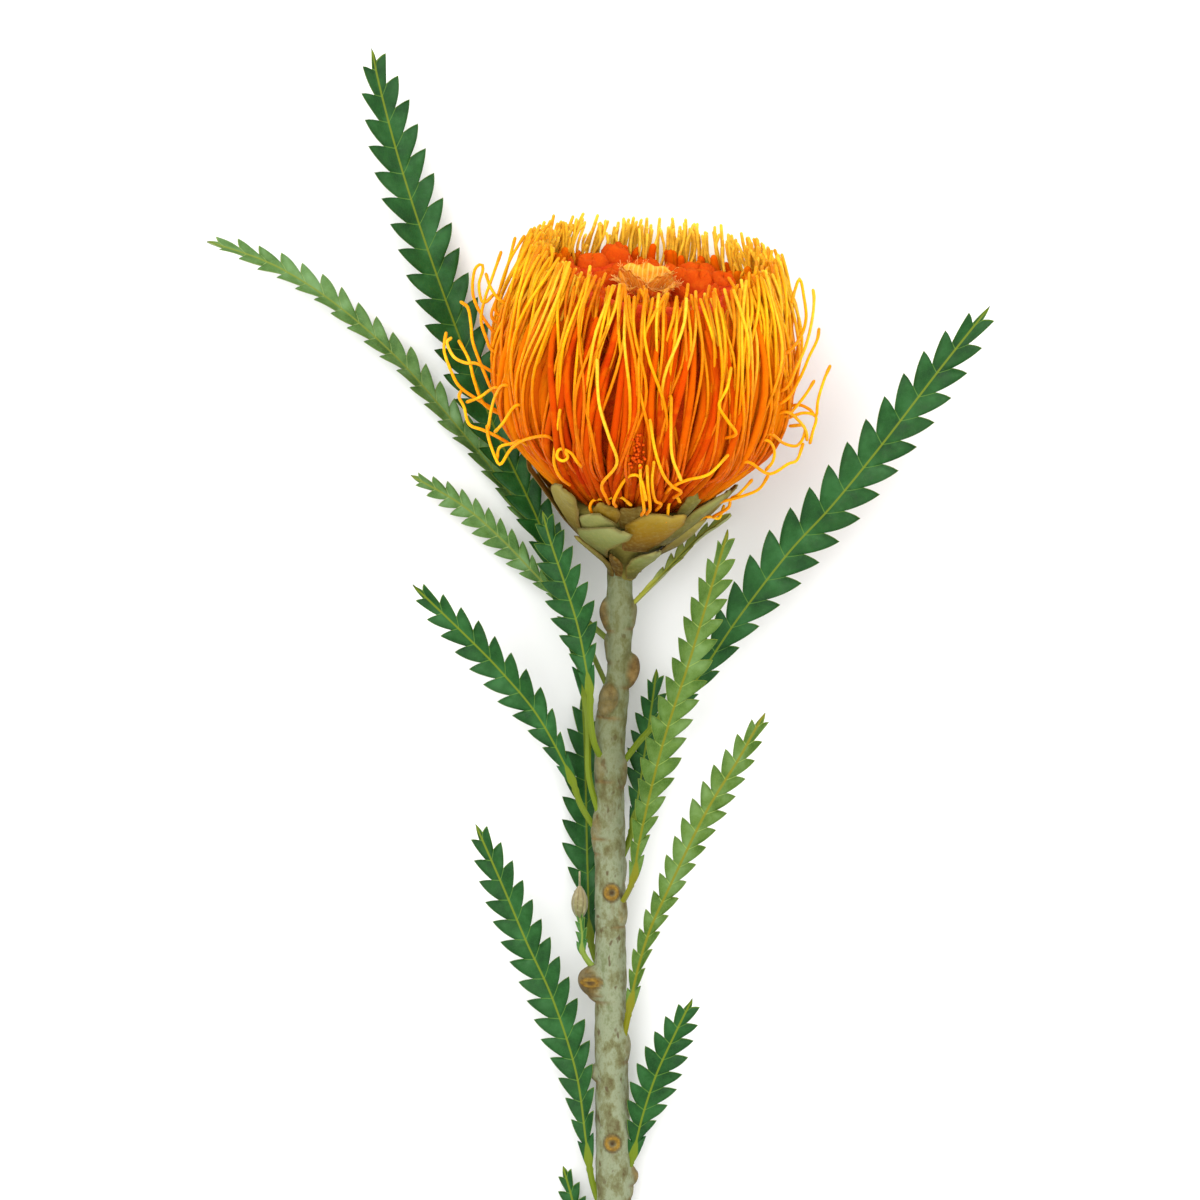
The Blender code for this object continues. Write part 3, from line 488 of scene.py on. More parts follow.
def placed(name, data):
    """A new object of the scene that holds this mesh, lamp or camera."""
    made = bpy.data.objects.new(name, data)
    bpy.context.scene.collection.objects.link(made)
    return made


class Parts:
    """Points, faces and tones gathered from several shapes into one mesh."""

    def __init__(self):
        self.points, self.tones, self.faces, self.count = [], [], [], 0

    def add(self, points, faces, tone):
        """Adds points of any grid; tone is four values for each of them, or four for all."""
        points = np.asarray(points, float).reshape(-1, 3)
        self.points.append(points)
        self.tones.append(np.broadcast_to(np.reshape(tone, (-1, 4)), (len(points), 4)))
        self.faces.extend((np.asarray(faces) + self.count).tolist())
        self.count += len(points)

    def piece(self, name, look, slot, *nodes):
        """Makes one smooth-shaded piece, in the model's frame, that stands for the nodes."""
        mesh = bpy.data.meshes.new(name)
        mesh.from_pydata(((np.vstack(self.points) + SHIFT) * MM).tolist(), [], self.faces)
        layer = mesh.attributes.new("tone", "FLOAT_COLOR", "POINT")
        layer.data.foreach_set("color", np.vstack(self.tones).astype(np.float32).ravel())
        mesh.materials.append(look)
        mesh.shade_smooth()
        made = placed(name, mesh)
        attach(made, "root")
        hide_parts(*nodes)


def tones(first, second, third, fourth=1.0):
    """Four values at each point, each given as an array or as one number."""
    return np.stack(np.broadcast_arrays(first, second, third, fourth), axis=-1)


def grid_faces(rows, columns, closed=False):
    """Faces of a grid of points given row by row; closed joins the last column to the first."""
    across = columns if closed else columns - 1
    row, column = np.meshgrid(np.arange(rows - 1), np.arange(across), indexing="ij")
    right = (column + 1) % columns
    here, ahead = row * columns, (row + 1) * columns
    return np.stack([here + column, here + right, ahead + right, ahead + column], axis=-1).reshape(-1, 4)


def closed_faces(rows, columns):
    """Faces of a sheet's front, of its back and of the rim between; the back's points follow the front's."""
    faces = grid_faces(rows, columns)
    border = list(range(columns))
    border += [row * columns + columns - 1 for row in range(1, rows)]
    border += [(rows - 1) * columns + column for column in range(columns - 2, -1, -1)]
    border += [row * columns for row in range(rows - 2, 0, -1)]
    offset = rows * columns
    rim = [(a, b, b + offset, a + offset) for a, b in zip(border, border[1:] + border[:1])]
    return np.vstack([faces, faces[:, ::-1] + offset, rim])


def tube(parts, line, radii, sides, reference, tone):
    """Adds a tube with rounded ends along a line; reference is a way that its side may face."""
    forward = unit(np.gradient(line, axis=0))
    caps = TUBE_CAPS
    start = line[0] - forward[0] * radii[0] * caps[:, :1]
    end = (line[-1] + forward[-1] * radii[-1] * caps[:, :1])[::-1]
    line = np.vstack([start, line, end])
    radii = np.concatenate([radii[0] * caps[:, 1], radii, radii[-1] * caps[::-1, 1]])
    ends = ((len(caps), len(caps)), (0, 0))
    forward, tone = np.pad(forward, ends, "edge"), np.pad(tone, ends, "edge")
    if reference.ndim > 1:
        reference = np.pad(reference, ends, "edge")
    side = unit(np.cross(forward, reference))
    up = np.cross(side, forward)
    turn = np.arange(sides) * math.tau / sides
    ring = np.cos(turn)[None, :, None] * side[:, None] + np.sin(turn)[None, :, None] * up[:, None]
    points = above_floor(line[:, None] + ring * radii[:, None, None], FLOOR_GAP)
    parts.add(points, grid_faces(len(line), sides, closed=True), np.repeat(tone, sides, axis=0))


def strand(parts, line, radius, steps, seed=0.5, depth=0.0, pale=0.0, start=0.0,
           sides=6, swell=1.25, reference=None):
    """Adds a style along a few points, with a thicker tip; start and pale shift its colour to gold, pale as
    painted light on the styles at the back.
    """
    path = Path(line)
    share = np.linspace(0, 1, steps)
    points = above_floor(path.at(share * path.length), radius * 1.1)
    taper = 1.0 - 0.12 * share + swell * 0.16 * bell(share - 0.96, 0.04)
    tone = tones(start + (1 - start) * share, seed, depth, pale)
    facing = HEAD[1] if reference is None else reference
    tube(parts, points, radius * taper, sides, facing, tone)


class Look:
    """A material and short calls that build its nodes."""

    def __init__(self, name, roughness=0.5, specular=0.4, sheen=0.0, subsurface=0.0):
        self.material = bpy.data.materials.new(name)
        self.material.use_nodes = True
        self.tree = self.material.node_tree
        self.shader = self.tree.nodes["Principled BSDF"]
        self.fill(self.shader, {
            "Roughness": roughness,
            "Specular IOR Level": specular,
            "Sheen Weight": sheen,
            "Subsurface Weight": subsurface,
            "Subsurface Radius": SUBSURFACE_RADIUS,
            "Subsurface Scale": 1.0,
        })
        tone = self.node("ShaderNodeAttribute", attribute_name="tone")
        separate = self.node("ShaderNodeSeparateColor", {"Color": tone.outputs["Color"]})
        self.first, self.second, self.third = separate.outputs
        self.fourth = tone.outputs["Alpha"]
        self.place = self.node("ShaderNodeTexCoord").outputs["Object"]

    def fill(self, node, inputs):
        """Sets a node's inputs, each to a plain value or to another node's output."""
        for key, value in inputs.items():
            if isinstance(value, bpy.types.NodeSocket):
                self.tree.links.new(value, node.inputs[key])
            else:
                node.inputs[key].default_value = value

    def node(self, kind, inputs=None, **settings):
        """A new node with these inputs and settings."""
        made = self.tree.nodes.new(kind)
        for key, value in settings.items():
            setattr(made, key, value)
        self.fill(made, inputs or {})
        return made

    def noise(self, scale, detail=3.0, rough=0.55, stretch=(1, 1, 1)):
        """Noise with features of about 1/scale metres, from 0 to 1."""
        mapping = self.node("ShaderNodeMapping", {"Scale": stretch, "Vector": self.place})
        inputs = {"Scale": scale, "Detail": detail, "Roughness": rough, "Vector": mapping.outputs["Vector"]}
        return self.node("ShaderNodeTexNoise", inputs).outputs["Fac"]

    def cells(self, scale):
        """Distance to the nearest edge of small cells."""
        inputs = {"Scale": scale, "Vector": self.place}
        return self.node("ShaderNodeTexVoronoi", inputs, feature="DISTANCE_TO_EDGE").outputs["Distance"]

    def step(self, value, low, high, start=0.0, end=1.0):
        """A smooth step of the value from low to high."""
        inputs = {"Value": value, "From Min": low, "From Max": high, "To Min": start, "To Max": end}
        return self.node("ShaderNodeMapRange", inputs, interpolation_type="SMOOTHSTEP").outputs["Result"]

    def maths(self, operation, first, second):
        """Two values added, subtracted or multiplied."""
        return self.node("ShaderNodeMath", {0: first, 1: second}, operation=operation).outputs[0]

    def ramp(self, value, stops, seen=True):
        """A colour read from the value: stops are positions and colours, seen ones or linear ones."""
        made = self.node("ShaderNodeValToRGB", {"Fac": value})
        elements = made.color_ramp.elements
        while len(elements) < len(stops):
            elements.new(0.5)
        for element, (position, colour) in zip(elements, stops):
            element.position = position
            element.color = (*(seen_colour(*colour) if seen else colour), 1)
        return made.outputs["Color"]

    def blend(self, factor, first, second):
        """Two colours mixed; each is a socket or a seen colour."""
        inputs = {"Factor": factor}
        for key, value in ((MIX_FIRST, first), (MIX_SECOND, second)):
            inputs[key] = (*seen_colour(*value), 1) if isinstance(value, tuple) else value
        return self.node("ShaderNodeMix", inputs, data_type="RGBA").outputs[MIX_RESULT]

    def tint(self, base, colour, value, low, high, amount):
        """The base with up to this amount of a colour, as the value goes from low to high."""
        return self.blend(self.step(value, low, high, 0.0, amount), base, colour)

    def finish(self, colour, roughness=None, height=None, depth=0.1, strength=0.6):
        """Joins the colour, roughness and bump to the shader; depth is in millimetres."""
        inputs = {"Base Color": colour}
        if roughness is not None:
            inputs["Roughness"] = roughness
        if height is not None:
            bump = {"Strength": strength, "Distance": depth * MM, "Height": height}
            inputs["Normal"] = self.node("ShaderNodeBump", bump).outputs["Normal"]
        self.fill(self.shader, inputs)
        return self.material


def style_look():
    """Styles: deep orange at the foot to golden yellow, with ochre tips, pale streaks and painted light that
    makes the styles at the back lighter.
    """
    look = Look("style", roughness=0.45, specular=0.08, subsurface=0.25)
    base = look.ramp(look.first, [
        (0.0, (182, 58, 0)), (0.25, (204, 88, 0)), (0.5, (230, 130, 0)), (0.72, (246, 162, 0)),
        (0.88, (250, 186, 18)), (0.995, (228, 150, 12)),
    ])
    deeper = look.tint(base, (206, 86, 0), look.third, 0.35, 1.0, 0.6)
    bright = look.maths("MULTIPLY", look.step(look.second, 0.6, 1.0), look.step(look.first, 0.5, 0.85))
    pale = look.blend(bright, deeper, (250, 194, 48))
    rich = look.tint(pale, (208, 92, 0), look.second, 0.28, 0.0, 0.6)
    # Painted light: the styles at the back, marked by the fourth tone, are painted light gold over their
    # upper half
    painted_back_light = look.maths("MULTIPLY", look.fourth, look.step(look.first, 0.45, 0.85, 0.0, 0.85))
    rich = look.blend(painted_back_light, rich, (252, 212, 70))
    mottle = look.step(look.noise(900, 2), 0.35, 0.7, 0.86, 1.06)
    shade = look.node("ShaderNodeVectorMath", {0: rich, "Scale": mottle}, operation="SCALE")
    rough = look.step(look.noise(700, 2), 0.3, 0.7, 0.34, 0.52)
    return look.finish(shade.outputs[0], rough, look.noise(2600, 2), depth=0.06)


def perianth_look():
    """Perianth tubes: downy orange bands that deepen to red towards the limbs, with painted light that makes
    the bands on the head's sides lighter.
    """
    look = Look("perianth", roughness=0.8, specular=0.03, subsurface=0.3)
    base = look.ramp(look.first, [
        (0.0, (146, 48, 0)), (0.3, (178, 60, 0)), (0.6, (194, 64, 0)), (0.85, (204, 66, 0)),
        (1.0, (214, 84, 2)),
    ])
    lighter = look.tint(base, (210, 96, 0), look.second, 0.5, 1.0, 0.7)
    darker = look.tint(lighter, (160, 34, 0), look.second, 0.4, 0.0, 0.6)
    deep = look.tint(darker, (172, 38, 0), look.noise(55, 3), 0.52, 0.64, 0.7)
    mottle = look.tint(deep, (206, 92, 0), look.noise(300, 4), 0.5, 0.7, 0.6)
    # Painted light: where the third tone is high, on the head's sides, the bands are painted a lighter orange
    mottle = look.tint(mottle, (232, 132, 4), look.third, 0.2, 0.9, 0.65)
    streaks = look.noise(1500, 3, stretch=(1, 0.12, 0.12))
    return look.finish(mottle, None, streaks, depth=0.25)


def core_look():
    """The deep parts of the head between the florets."""
    look = Look("head_core", roughness=0.85, specular=0.1)
    colour = look.ramp(look.noise(330, 4), [
        (0.3, (178, 40, 0)), (0.5, (206, 60, 0)), (0.7, (226, 86, 0)),
    ])
    return look.finish(colour, None, look.noise(800, 4), depth=0.8)


def bract_look():
    """Leathery bracts: grey-green to golden tan, with brown edges and fine lines along them."""
    look = Look("bract", roughness=0.62, specular=0.15)
    green = look.ramp(look.first, [
        (0.0, (66, 60, 22)), (0.3, (98, 98, 38)), (0.7, (124, 130, 70)), (1.0, (144, 146, 88)),
    ])
    gold = look.ramp(look.first, [
        (0.0, (74, 48, 0)), (0.35, (120, 86, 0)), (0.75, (146, 114, 12)), (1.0, (170, 144, 56)),
    ])
    base = look.blend(look.third, green, gold)
    edge = look.tint(base, (112, 78, 26), look.second, 0.72, 1.0, 0.5)
    blotch = look.tint(edge, (88, 68, 20), look.noise(150, 4), 0.52, 0.75, 0.45)
    fine = look.tint(blotch, (160, 146, 84), look.noise(900, 3), 0.45, 0.7, 0.2)
    height = look.maths("ADD", look.noise(1200, 3), look.noise(260, 3))
    rough = look.step(look.noise(400, 3), 0.3, 0.7, 0.5, 0.75)
    return look.finish(fine, rough, height, depth=0.25)


def tuft_look():
    """The woolly bracts in the dimple."""
    look = Look("woolly_bract", roughness=0.85, specular=0.03, subsurface=0.1)
    base = look.ramp(look.first, [
        (0.0, (206, 76, 0)), (0.45, (232, 134, 14)), (1.0, (244, 180, 60)),
    ])
    mottle = look.tint(base, (222, 104, 8), look.noise(300, 4), 0.48, 0.64, 0.7)
    fibred = look.tint(mottle, (250, 206, 110), look.third, 0.5, 1.0, 0.55)
    height = look.maths("ADD", look.noise(2400, 4), look.third)
    return look.finish(fibred, None, height, depth=0.4)


def hair_look(name, foot, tip):
    """Fine hairs, paler towards their tips."""
    look = Look(name, roughness=0.6, specular=0.08)
    colour = look.ramp(look.first, [(0.0, foot), (1.0, tip)])
    return look.finish(colour)


def limb_look():
    """Perianth limbs round the dimple: velvety red-orange, with painted shade that darkens each lump from its
    top down to its foot.
    """
    look = Look("perianth_limb", roughness=0.85, specular=0.08, subsurface=0.1)
    # Painted shade and light: dark at the lump's foot, lighter at its top
    base = look.ramp(look.first, [
        (0.0, (96, 6, 0)), (0.5, (164, 32, 0)), (1.0, (210, 78, 4)),
    ])
    mottle = look.tint(base, (212, 90, 8), look.noise(700, 4), 0.45, 0.75, 0.7)
    return look.finish(mottle, None, look.noise(2200, 4), depth=0.35)


def stem_look():
    """Pale grey-green bark with brown blotches, darker at the buds and scars."""
    look = Look("bark", roughness=0.72, specular=0.25)
    base = look.ramp(look.noise(230, 6, 0.7, stretch=(1, 0.6, 1)), [
        (0.34, (84, 76, 42)), (0.45, (108, 110, 74)), (0.55, (132, 139, 110)), (0.66, (104, 112, 76)),
    ])
    blotch = look.step(look.noise(95, 6, 0.7, stretch=(1, 0.6, 1)), 0.57, 0.74, 0.0, 0.6)
    blotched = look.blend(blotch, base, (90, 72, 42))
    specks = look.step(look.noise(520, 2, 0.4, stretch=(1, 0.55, 1)), 0.64, 0.74, 0.0, 0.8)
    speckled = look.blend(specks, blotched, (76, 58, 32))
    grown = look.ramp(look.noise(420, 4), [
        (0.3, (66, 44, 14)), (0.5, (98, 74, 32)), (0.7, (132, 106, 58)),
    ])
    older = look.blend(look.fourth, look.blend(0.45, speckled, (78, 82, 34)), speckled)
    marked = look.blend(look.first, older, grown)
    lip = look.ramp(look.noise(900, 3), [(0.35, (104, 74, 16)), (0.65, (146, 114, 34))])
    ringed = look.blend(look.second, marked, lip)
    holed = look.blend(look.third, ringed, (58, 38, 8))
    height = look.maths("ADD", look.noise(900, 4, stretch=(1, 0.4, 1)), look.noise(220, 3))
    rough = look.step(look.noise(300, 3), 0.3, 0.7, 0.6, 0.85)
    return look.finish(holed, rough, height, depth=0.3)


# Half width in millimetres of the coloured line along the midrib
RIB_REACH = 0.3
PALE_RIB_REACH = 0.38
# Leaves whose colour differs from that of their slot
OTHER_LOOKS = {
    "leaf_arching_left": "silver_leaf",
    "leaf_pale_left": "silver_leaf",
    "leaf_neck_right": "olive_leaf",
}
# Blade from dark to light, then midrib, line of a lobe, edge and underside
LEAF_COLOURS = {
    "dark_leaf": [
        (12, 56, 14), (26, 76, 24), (44, 96, 44), (106, 122, 14),
        (84, 124, 44), (112, 138, 40), (86, 118, 66),
    ],
    "pale_leaf": [
        (58, 90, 18), (84, 114, 42), (104, 134, 72), (120, 116, 6),
        (136, 158, 74), (128, 142, 46), (134, 150, 100),
    ],
    "silver_leaf": [
        (62, 98, 38), (88, 124, 60), (110, 146, 92), (118, 132, 46),
        (136, 160, 90), (136, 154, 76), (134, 150, 100),
    ],
    "side_shoot": [
        (36, 82, 24), (58, 106, 42), (84, 126, 64), (120, 138, 50),
        (110, 142, 70), (120, 140, 60), (110, 138, 88),
    ],
    "olive_leaf": [
        (92, 104, 26), (118, 128, 48), (140, 148, 74), (150, 150, 50),
        (150, 158, 84), (136, 128, 52), (138, 144, 82),
    ],
}


def leaf_look(kind):
    """A leathery leaf with painted sheen in the middle of each lobe; its tone holds the distances to midrib,
    lobe line and edge, then the side.
    """
    look = Look(kind, roughness=0.5, specular=0.2)
    low, middle, high, rib_colour, line_colour, edge_colour, under = LEAF_COLOURS[kind]
    patch = look.ramp(look.noise(140, 4, 0.6), [(0.36, low), (0.5, middle), (0.66, high)])
    # Painted sheen: the middle of each lobe, away from its lines, is painted lighter
    painted_lobe_sheen = look.tint(patch, middle, look.second, 0.06, 0.3, 0.35)
    shaded = look.tint(painted_lobe_sheen, low, look.third, 0.25, 0.02, 0.45)
    veins = look.step(look.cells(1100), 0.0, 0.06, 0.3, 0.0)
    netted = look.blend(veins, shaded, high)
    line = look.step(look.second, 0.022, 0.008, 0.0, 0.75)
    lined = look.blend(line, netted, line_colour)
    edge = look.step(look.third, 0.024, 0.006, 0.0, 0.7)
    edged = look.blend(edge, lined, edge_colour)
    reach = PALE_RIB_REACH if kind == "pale_leaf" else RIB_REACH
    rib = look.step(look.first, reach * 0.12, reach * 0.05, 0.0, 0.85)
    ribbed = look.blend(rib, edged, rib_colour)
    colour = look.blend(look.fourth, under, ribbed)
    height = look.maths("SUBTRACT", look.noise(1300, 4), veins)
    rough = look.step(look.noise(260, 3), 0.3, 0.7, 0.42, 0.6)
    return look.finish(colour, rough, height, depth=0.12)


def shoot_bud_look():
    """The downy bud: brownish green, darker in its grooves."""
    look = Look("shoot_bud", roughness=0.85, specular=0.15, sheen=0.4)
    base = look.ramp(look.first, [
        (0.0, (88, 92, 44)), (0.4, (122, 118, 76)), (1.0, (150, 136, 100)),
    ])
    striped = look.tint(base, (84, 66, 40), look.second, 0.3, 0.0, 0.6)
    mottle = look.tint(striped, (176, 170, 134), look.noise(900, 3), 0.45, 0.7, 0.4)
    return look.finish(mottle, None, look.noise(2000, 3), depth=0.3)


def floor_look():
    """A nearly even pale floor."""
    look = Look("floor", roughness=0.8, specular=0.2)
    colour = look.ramp(look.noise(3, 2), [(0.3, (0.86, 0.86, 0.855)), (0.7, (0.88, 0.88, 0.875))], seen=False)
    return look.finish(colour, None, look.noise(400, 2), depth=0.05, strength=0.2)


def wander(count, steps, cycles, rng):
    """Smooth waves from -1 to 1 for a number of lines, each with its own phase."""
    share = np.linspace(0, 1, steps)[None]
    phase = rng.uniform(0, math.tau, (count, 1))
    rate = rng.uniform(0.6, 1.4, (count, 1)) * cycles
    return np.sin(share * rate * math.tau + phase) * np.sin(share * math.pi * 0.62 + 0.1)


def clumped(azimuth, share):
    """Azimuths drawn into the loose locks that the styles form."""
    broad = 3.4 * np.sin(np.radians(azimuth * 11) + 4.0 * share)
    fine = 2.2 * np.sin(np.radians(azimuth * 23) - 3.0 * share)
    return azimuth + (broad + fine) * np.sin(share * math.pi * 0.8)


def styles(name, rng, look):
    """One family of styles round the head, shorter in front and at the back."""
    number, radius, spread, family = STYLE_FAMILIES[name]
    parts = Parts()
    share = np.linspace(0, 1, STYLE_POINTS)
    shape = Path(family)
    profile = shape.at(share * shape.length)
    waves = wander(number, STYLE_POINTS, 1.3, rng)
    lifts = wander(number, STYLE_POINTS, 1.6, rng)
    for index in range(number):
        even = math.tau * (index + rng.uniform(-0.4, 0.4)) / number
        start = math.degrees(even) + SIDE_CROWDING * math.sin(2 * even) + BACK_CROWDING * math.sin(even)
        depth = rng.random()
        facing = wrapped(start)
        hidden = bell(abs(facing) - 180, BACK_REACH)
        drift = rng.normal(0, spread) * share**1.4 * (1 - 0.6 * hidden)
        even_azimuth = start + drift
        locked = (clumped(even_azimuth, share) - even_azimuth) * (1 - 0.8 * hidden)
        azimuth = even_azimuth + locked + (2.0 - hidden) * waves[index]
        depth = depth * (1 - hidden)
        long = min(rng.normal(0, 1.7), 2.2) - DEPTH_SHORTER * depth
        long = long - FRONT_SHORTER * bell(facing, FRONT_REACH) - BACK_SHORTER * hidden
        inset = DEPTH_INSET * depth * np.sin(share * math.pi * 0.55 + 0.2)
        heights = profile[:, 0] + long * share
        radii = profile[:, 1] - inset + 0.9 * lifts[index]
        line = in_head(heights, radii, azimuth)
        # Painted light: the styles at the back get a higher seed and, through pale, a light gold colour, so
        # that they look lit
        seed = rng.random() * (1 - 0.4 * hidden) + 0.4 * hidden
        strand(parts, line, radius, STYLE_STEPS, seed, depth, hidden)
    parts.piece(name, look, "flower_head", "flower_head")


def perianths(rng, look):
    """Bands of perianth tubes under the styles."""
    parts = Parts()
    share = np.linspace(0, 1, PERIANTH_POINTS)
    for number, radius, family in PERIANTH_FAMILIES:
        shape = Path(family)
        for index in range(number):
            length = shape.length * rng.uniform(0.86, 1.0)
            profile = shape.at(share * length)
            start = 360 * (index + rng.uniform(-0.3, 0.3)) / number
            drift, swing = rng.normal(0, 4), rng.uniform(-2, 2)
            azimuth = clumped(start + drift * share, share) + swing * np.sin(share * 5)
            line = in_head(profile[:, 0], profile[:, 1] + rng.normal(0, 0.6), azimuth)
            line = above_floor(line, radius)
            tip = 0.12 * bell(share - 0.94, 0.05)
            width = radius * (0.62 + 0.5 * np.sin(share * math.pi * 0.9) + tip)
            # The third tone is high on the head's sides, where the material paints light on the bands
            tone = tones(share, rng.random(), np.sin(np.radians(azimuth)) ** 2)
            tube(parts, line, width, PERIANTH_SIDES, outward(azimuth), tone)
    parts.piece("perianth_tubes", look, "flower_head", "flower_head")


def limb(parts, down, rng, centre, axes, tone):
    """Adds a velvety lump with folds, and short down that stands out of it."""
    tilt = np.linspace(0.0005, math.pi - 0.0005, LIMB_ROWS)[:, None]
    turn = np.linspace(0, math.tau, LIMB_SIDES, endpoint=False)[None]
    phase = rng.uniform(0, math.tau, 3)
    folds = 0.14 * np.sin(turn * 2 + phase[0] + tilt * 1.5) + 0.06 * np.sin(turn * 4 + phase[1] - tilt * 3)
    swell = 1 + folds + 0.035 * np.sin(turn * 9 + tilt * 11 + phase[2])
    wide = np.sin(tilt) ** 0.55
    top = np.cos(tilt) + 0.1 * np.sin(tilt) * np.cos(turn)
    local = np.stack([wide * np.cos(turn), wide * np.sin(turn), top], axis=-1)
    points = np.array(centre) + (local * swell[..., None]) @ axes
    # The first tone is the height on the lump, from which the material paints shade at its foot and light on
    # its top
    high = (1 + np.cos(tilt)) / 2 + 0 * turn
    parts.add(points, grid_faces(LIMB_ROWS, LIMB_SIDES, closed=True), tones(high, tone, high))
    for _ in range(LIMB_HAIRS):
        row, column = rng.integers(0, LIMB_ROWS * 2 // 3), rng.integers(0, LIMB_SIDES)
        foot = points[row, column]
        way = unit(local[row, column] @ unit(axes) + rng.normal(0, 0.3, 3))
        size = rng.uniform(0.3, 0.7)
        hair = [foot, foot + way * size * 0.5, foot + way * size]
        strand(down, hair, LIMB_HAIR_RADIUS, 3, sides=3, swell=0)


def limbs(rng, look, hairs):
    """Velvety limbs round the dimple, lower in front, with their down."""
    parts, down = Parts(), Parts()
    for number, height, away, size in LIMB_RINGS:
        for index in range(number):
            azimuth = 360 * (index + rng.uniform(-0.3, 0.3)) / number
            middle = height - LIMB_SINK * bell(wrapped(azimuth), LIMB_SINK_REACH) + rng.normal(0, 0.6)
            centre = in_head(middle, away + rng.normal(0, 1.0), azimuth)
            broad = size * rng.uniform(0.8, 1.4)
            tall = HEAD[2] * rng.uniform(1.0, 1.35) + outward(azimuth) * rng.uniform(-0.2, 0.5)
            axes = np.stack([outward(azimuth + 90.0) * broad, outward(azimuth) * size * 0.6, tall * size])
            limb(parts, down, rng, centre, axes, rng.random())
    down.piece("limb_down", hairs, "flower_head", "flower_head")
    parts.piece("perianth_limbs", look, "flower_head", "flower_head")


def strays(rng, look):
    """Loose strands, each drawn through its points in the photograph's frame and rooted in the head."""
    parts = Parts()
    for pixels in STRAYS:
        lowest = [on_head(x, y, 1.0)[2] for x, y in pixels]
        heights = np.array(lowest)
        for _ in range(6):
            ends = np.concatenate([heights[:1], heights, heights[-1:]])
            heights = np.maximum((ends[:-2] + 2 * heights + ends[2:]) / 4, lowest)
        line = [seen_at(x, y, height) for (x, y), height in zip(pixels, heights)]
        first = HEAD @ (line[0] - np.array(NECK))
        azimuth = math.degrees(math.atan2(first[0], first[1]))
        root = in_head(first[2] - 3, math.hypot(first[0], first[1]) * 0.86, azimuth)
        seed, depth = rng.uniform(0.2, 0.9), rng.uniform(0, 0.5)
        strand(parts, [root, *line], STRAY_RADIUS, STRAY_STEPS, seed, depth, start=0.42, sides=7)
    parts.piece("stray_styles", look, "flower_head", "flower_head")


def red_cluster(rng, look):
    """The small dark red knobs of unopened florets, scattered over a patch low in front."""
    parts = Parts()
    for _ in range(CLUSTER_KNOBS):
        x = CLUSTER_MIDDLE[0] + rng.normal(0, CLUSTER_SPREAD[0])
        y = CLUSTER_MIDDLE[1] + rng.uniform(-1, 1) * CLUSTER_SPREAD[1]
        foot = on_head(x, y, 0.2)
        way = unit(HEAD[1] + rng.normal(0, 0.35, 3))
        redness = rng.uniform(0, 0.8)
        knob = [foot, foot + way * 0.6, foot + way * 1.2]
        strand(parts, knob, KNOB_RADIUS, 4, start=redness, sides=7, swell=3)
    parts.piece("floret_cluster", look, "flower_head", "flower_head")


def turned(parts, profile, sides, tone, wobble=0.0, rng=None):
    """Adds a turned shape of the head's frame, its profile given from bottom to top."""
    path = Path(profile)
    samples = path.at(np.linspace(0, 1, TURNED_ROWS) * path.length)
    azimuth = np.arange(sides) * 360 / sides
    radii = np.maximum(samples[:, 1:], 0)
    if wobble:
        ridges = wobble * np.cos(np.radians(azimuth * CORE_RIDGES))[None]
        radii = radii * (1 + ridges + rng.normal(0, wobble * 0.4, (TURNED_ROWS, sides)))
    points = above_floor(in_head(samples[:, :1], radii, azimuth[None]), SOLID_GAP)
    parts.add(points, grid_faces(TURNED_ROWS, sides, closed=True), tone)


def head_core(rng, look):
    """The ridged core that shows between the florets."""
    parts = Parts()
    turned(parts, CORE_PROFILE, CORE_SIDES, (0.5, 0.5, 0.5, 1), CORE_WOBBLE, rng)
    parts.piece("head_core", look, "flower_head", "flower_head")


def closed_sheet(parts, front, back, tone, back_tone):
    """Adds a sheet with a front, a back and the rim between, each given by rows and columns."""
    parts.add(np.stack([front, back]), closed_faces(*front.shape[:2]), np.stack([tone, back_tone]))


def shell(parts, top, thickness, tone):
    """Adds a bowed sheet of points, rows by columns, as a closed blade of this thickness."""
    rows, columns = top.shape[:2]
    normal = np.cross(np.gradient(top, axis=1), np.gradient(top, axis=0))
    normal = normal / np.maximum(np.linalg.norm(normal, axis=-1, keepdims=True), 1e-9)
    across = np.linspace(-1, 1, columns)[None, :, None]
    along = np.linspace(-1, 1, rows)[:, None, None]
    rim = np.maximum(abs(across) ** 6, np.maximum(along, 0) ** 6)
    half = thickness / 2 * np.sqrt(np.clip(1 - rim, 0.03, 1))
    front = above_floor(top + normal * half, FLOOR_GAP)
    back = above_floor(top - normal * half, FLOOR_GAP)
    closed_sheet(parts, front, back, tone, tone)


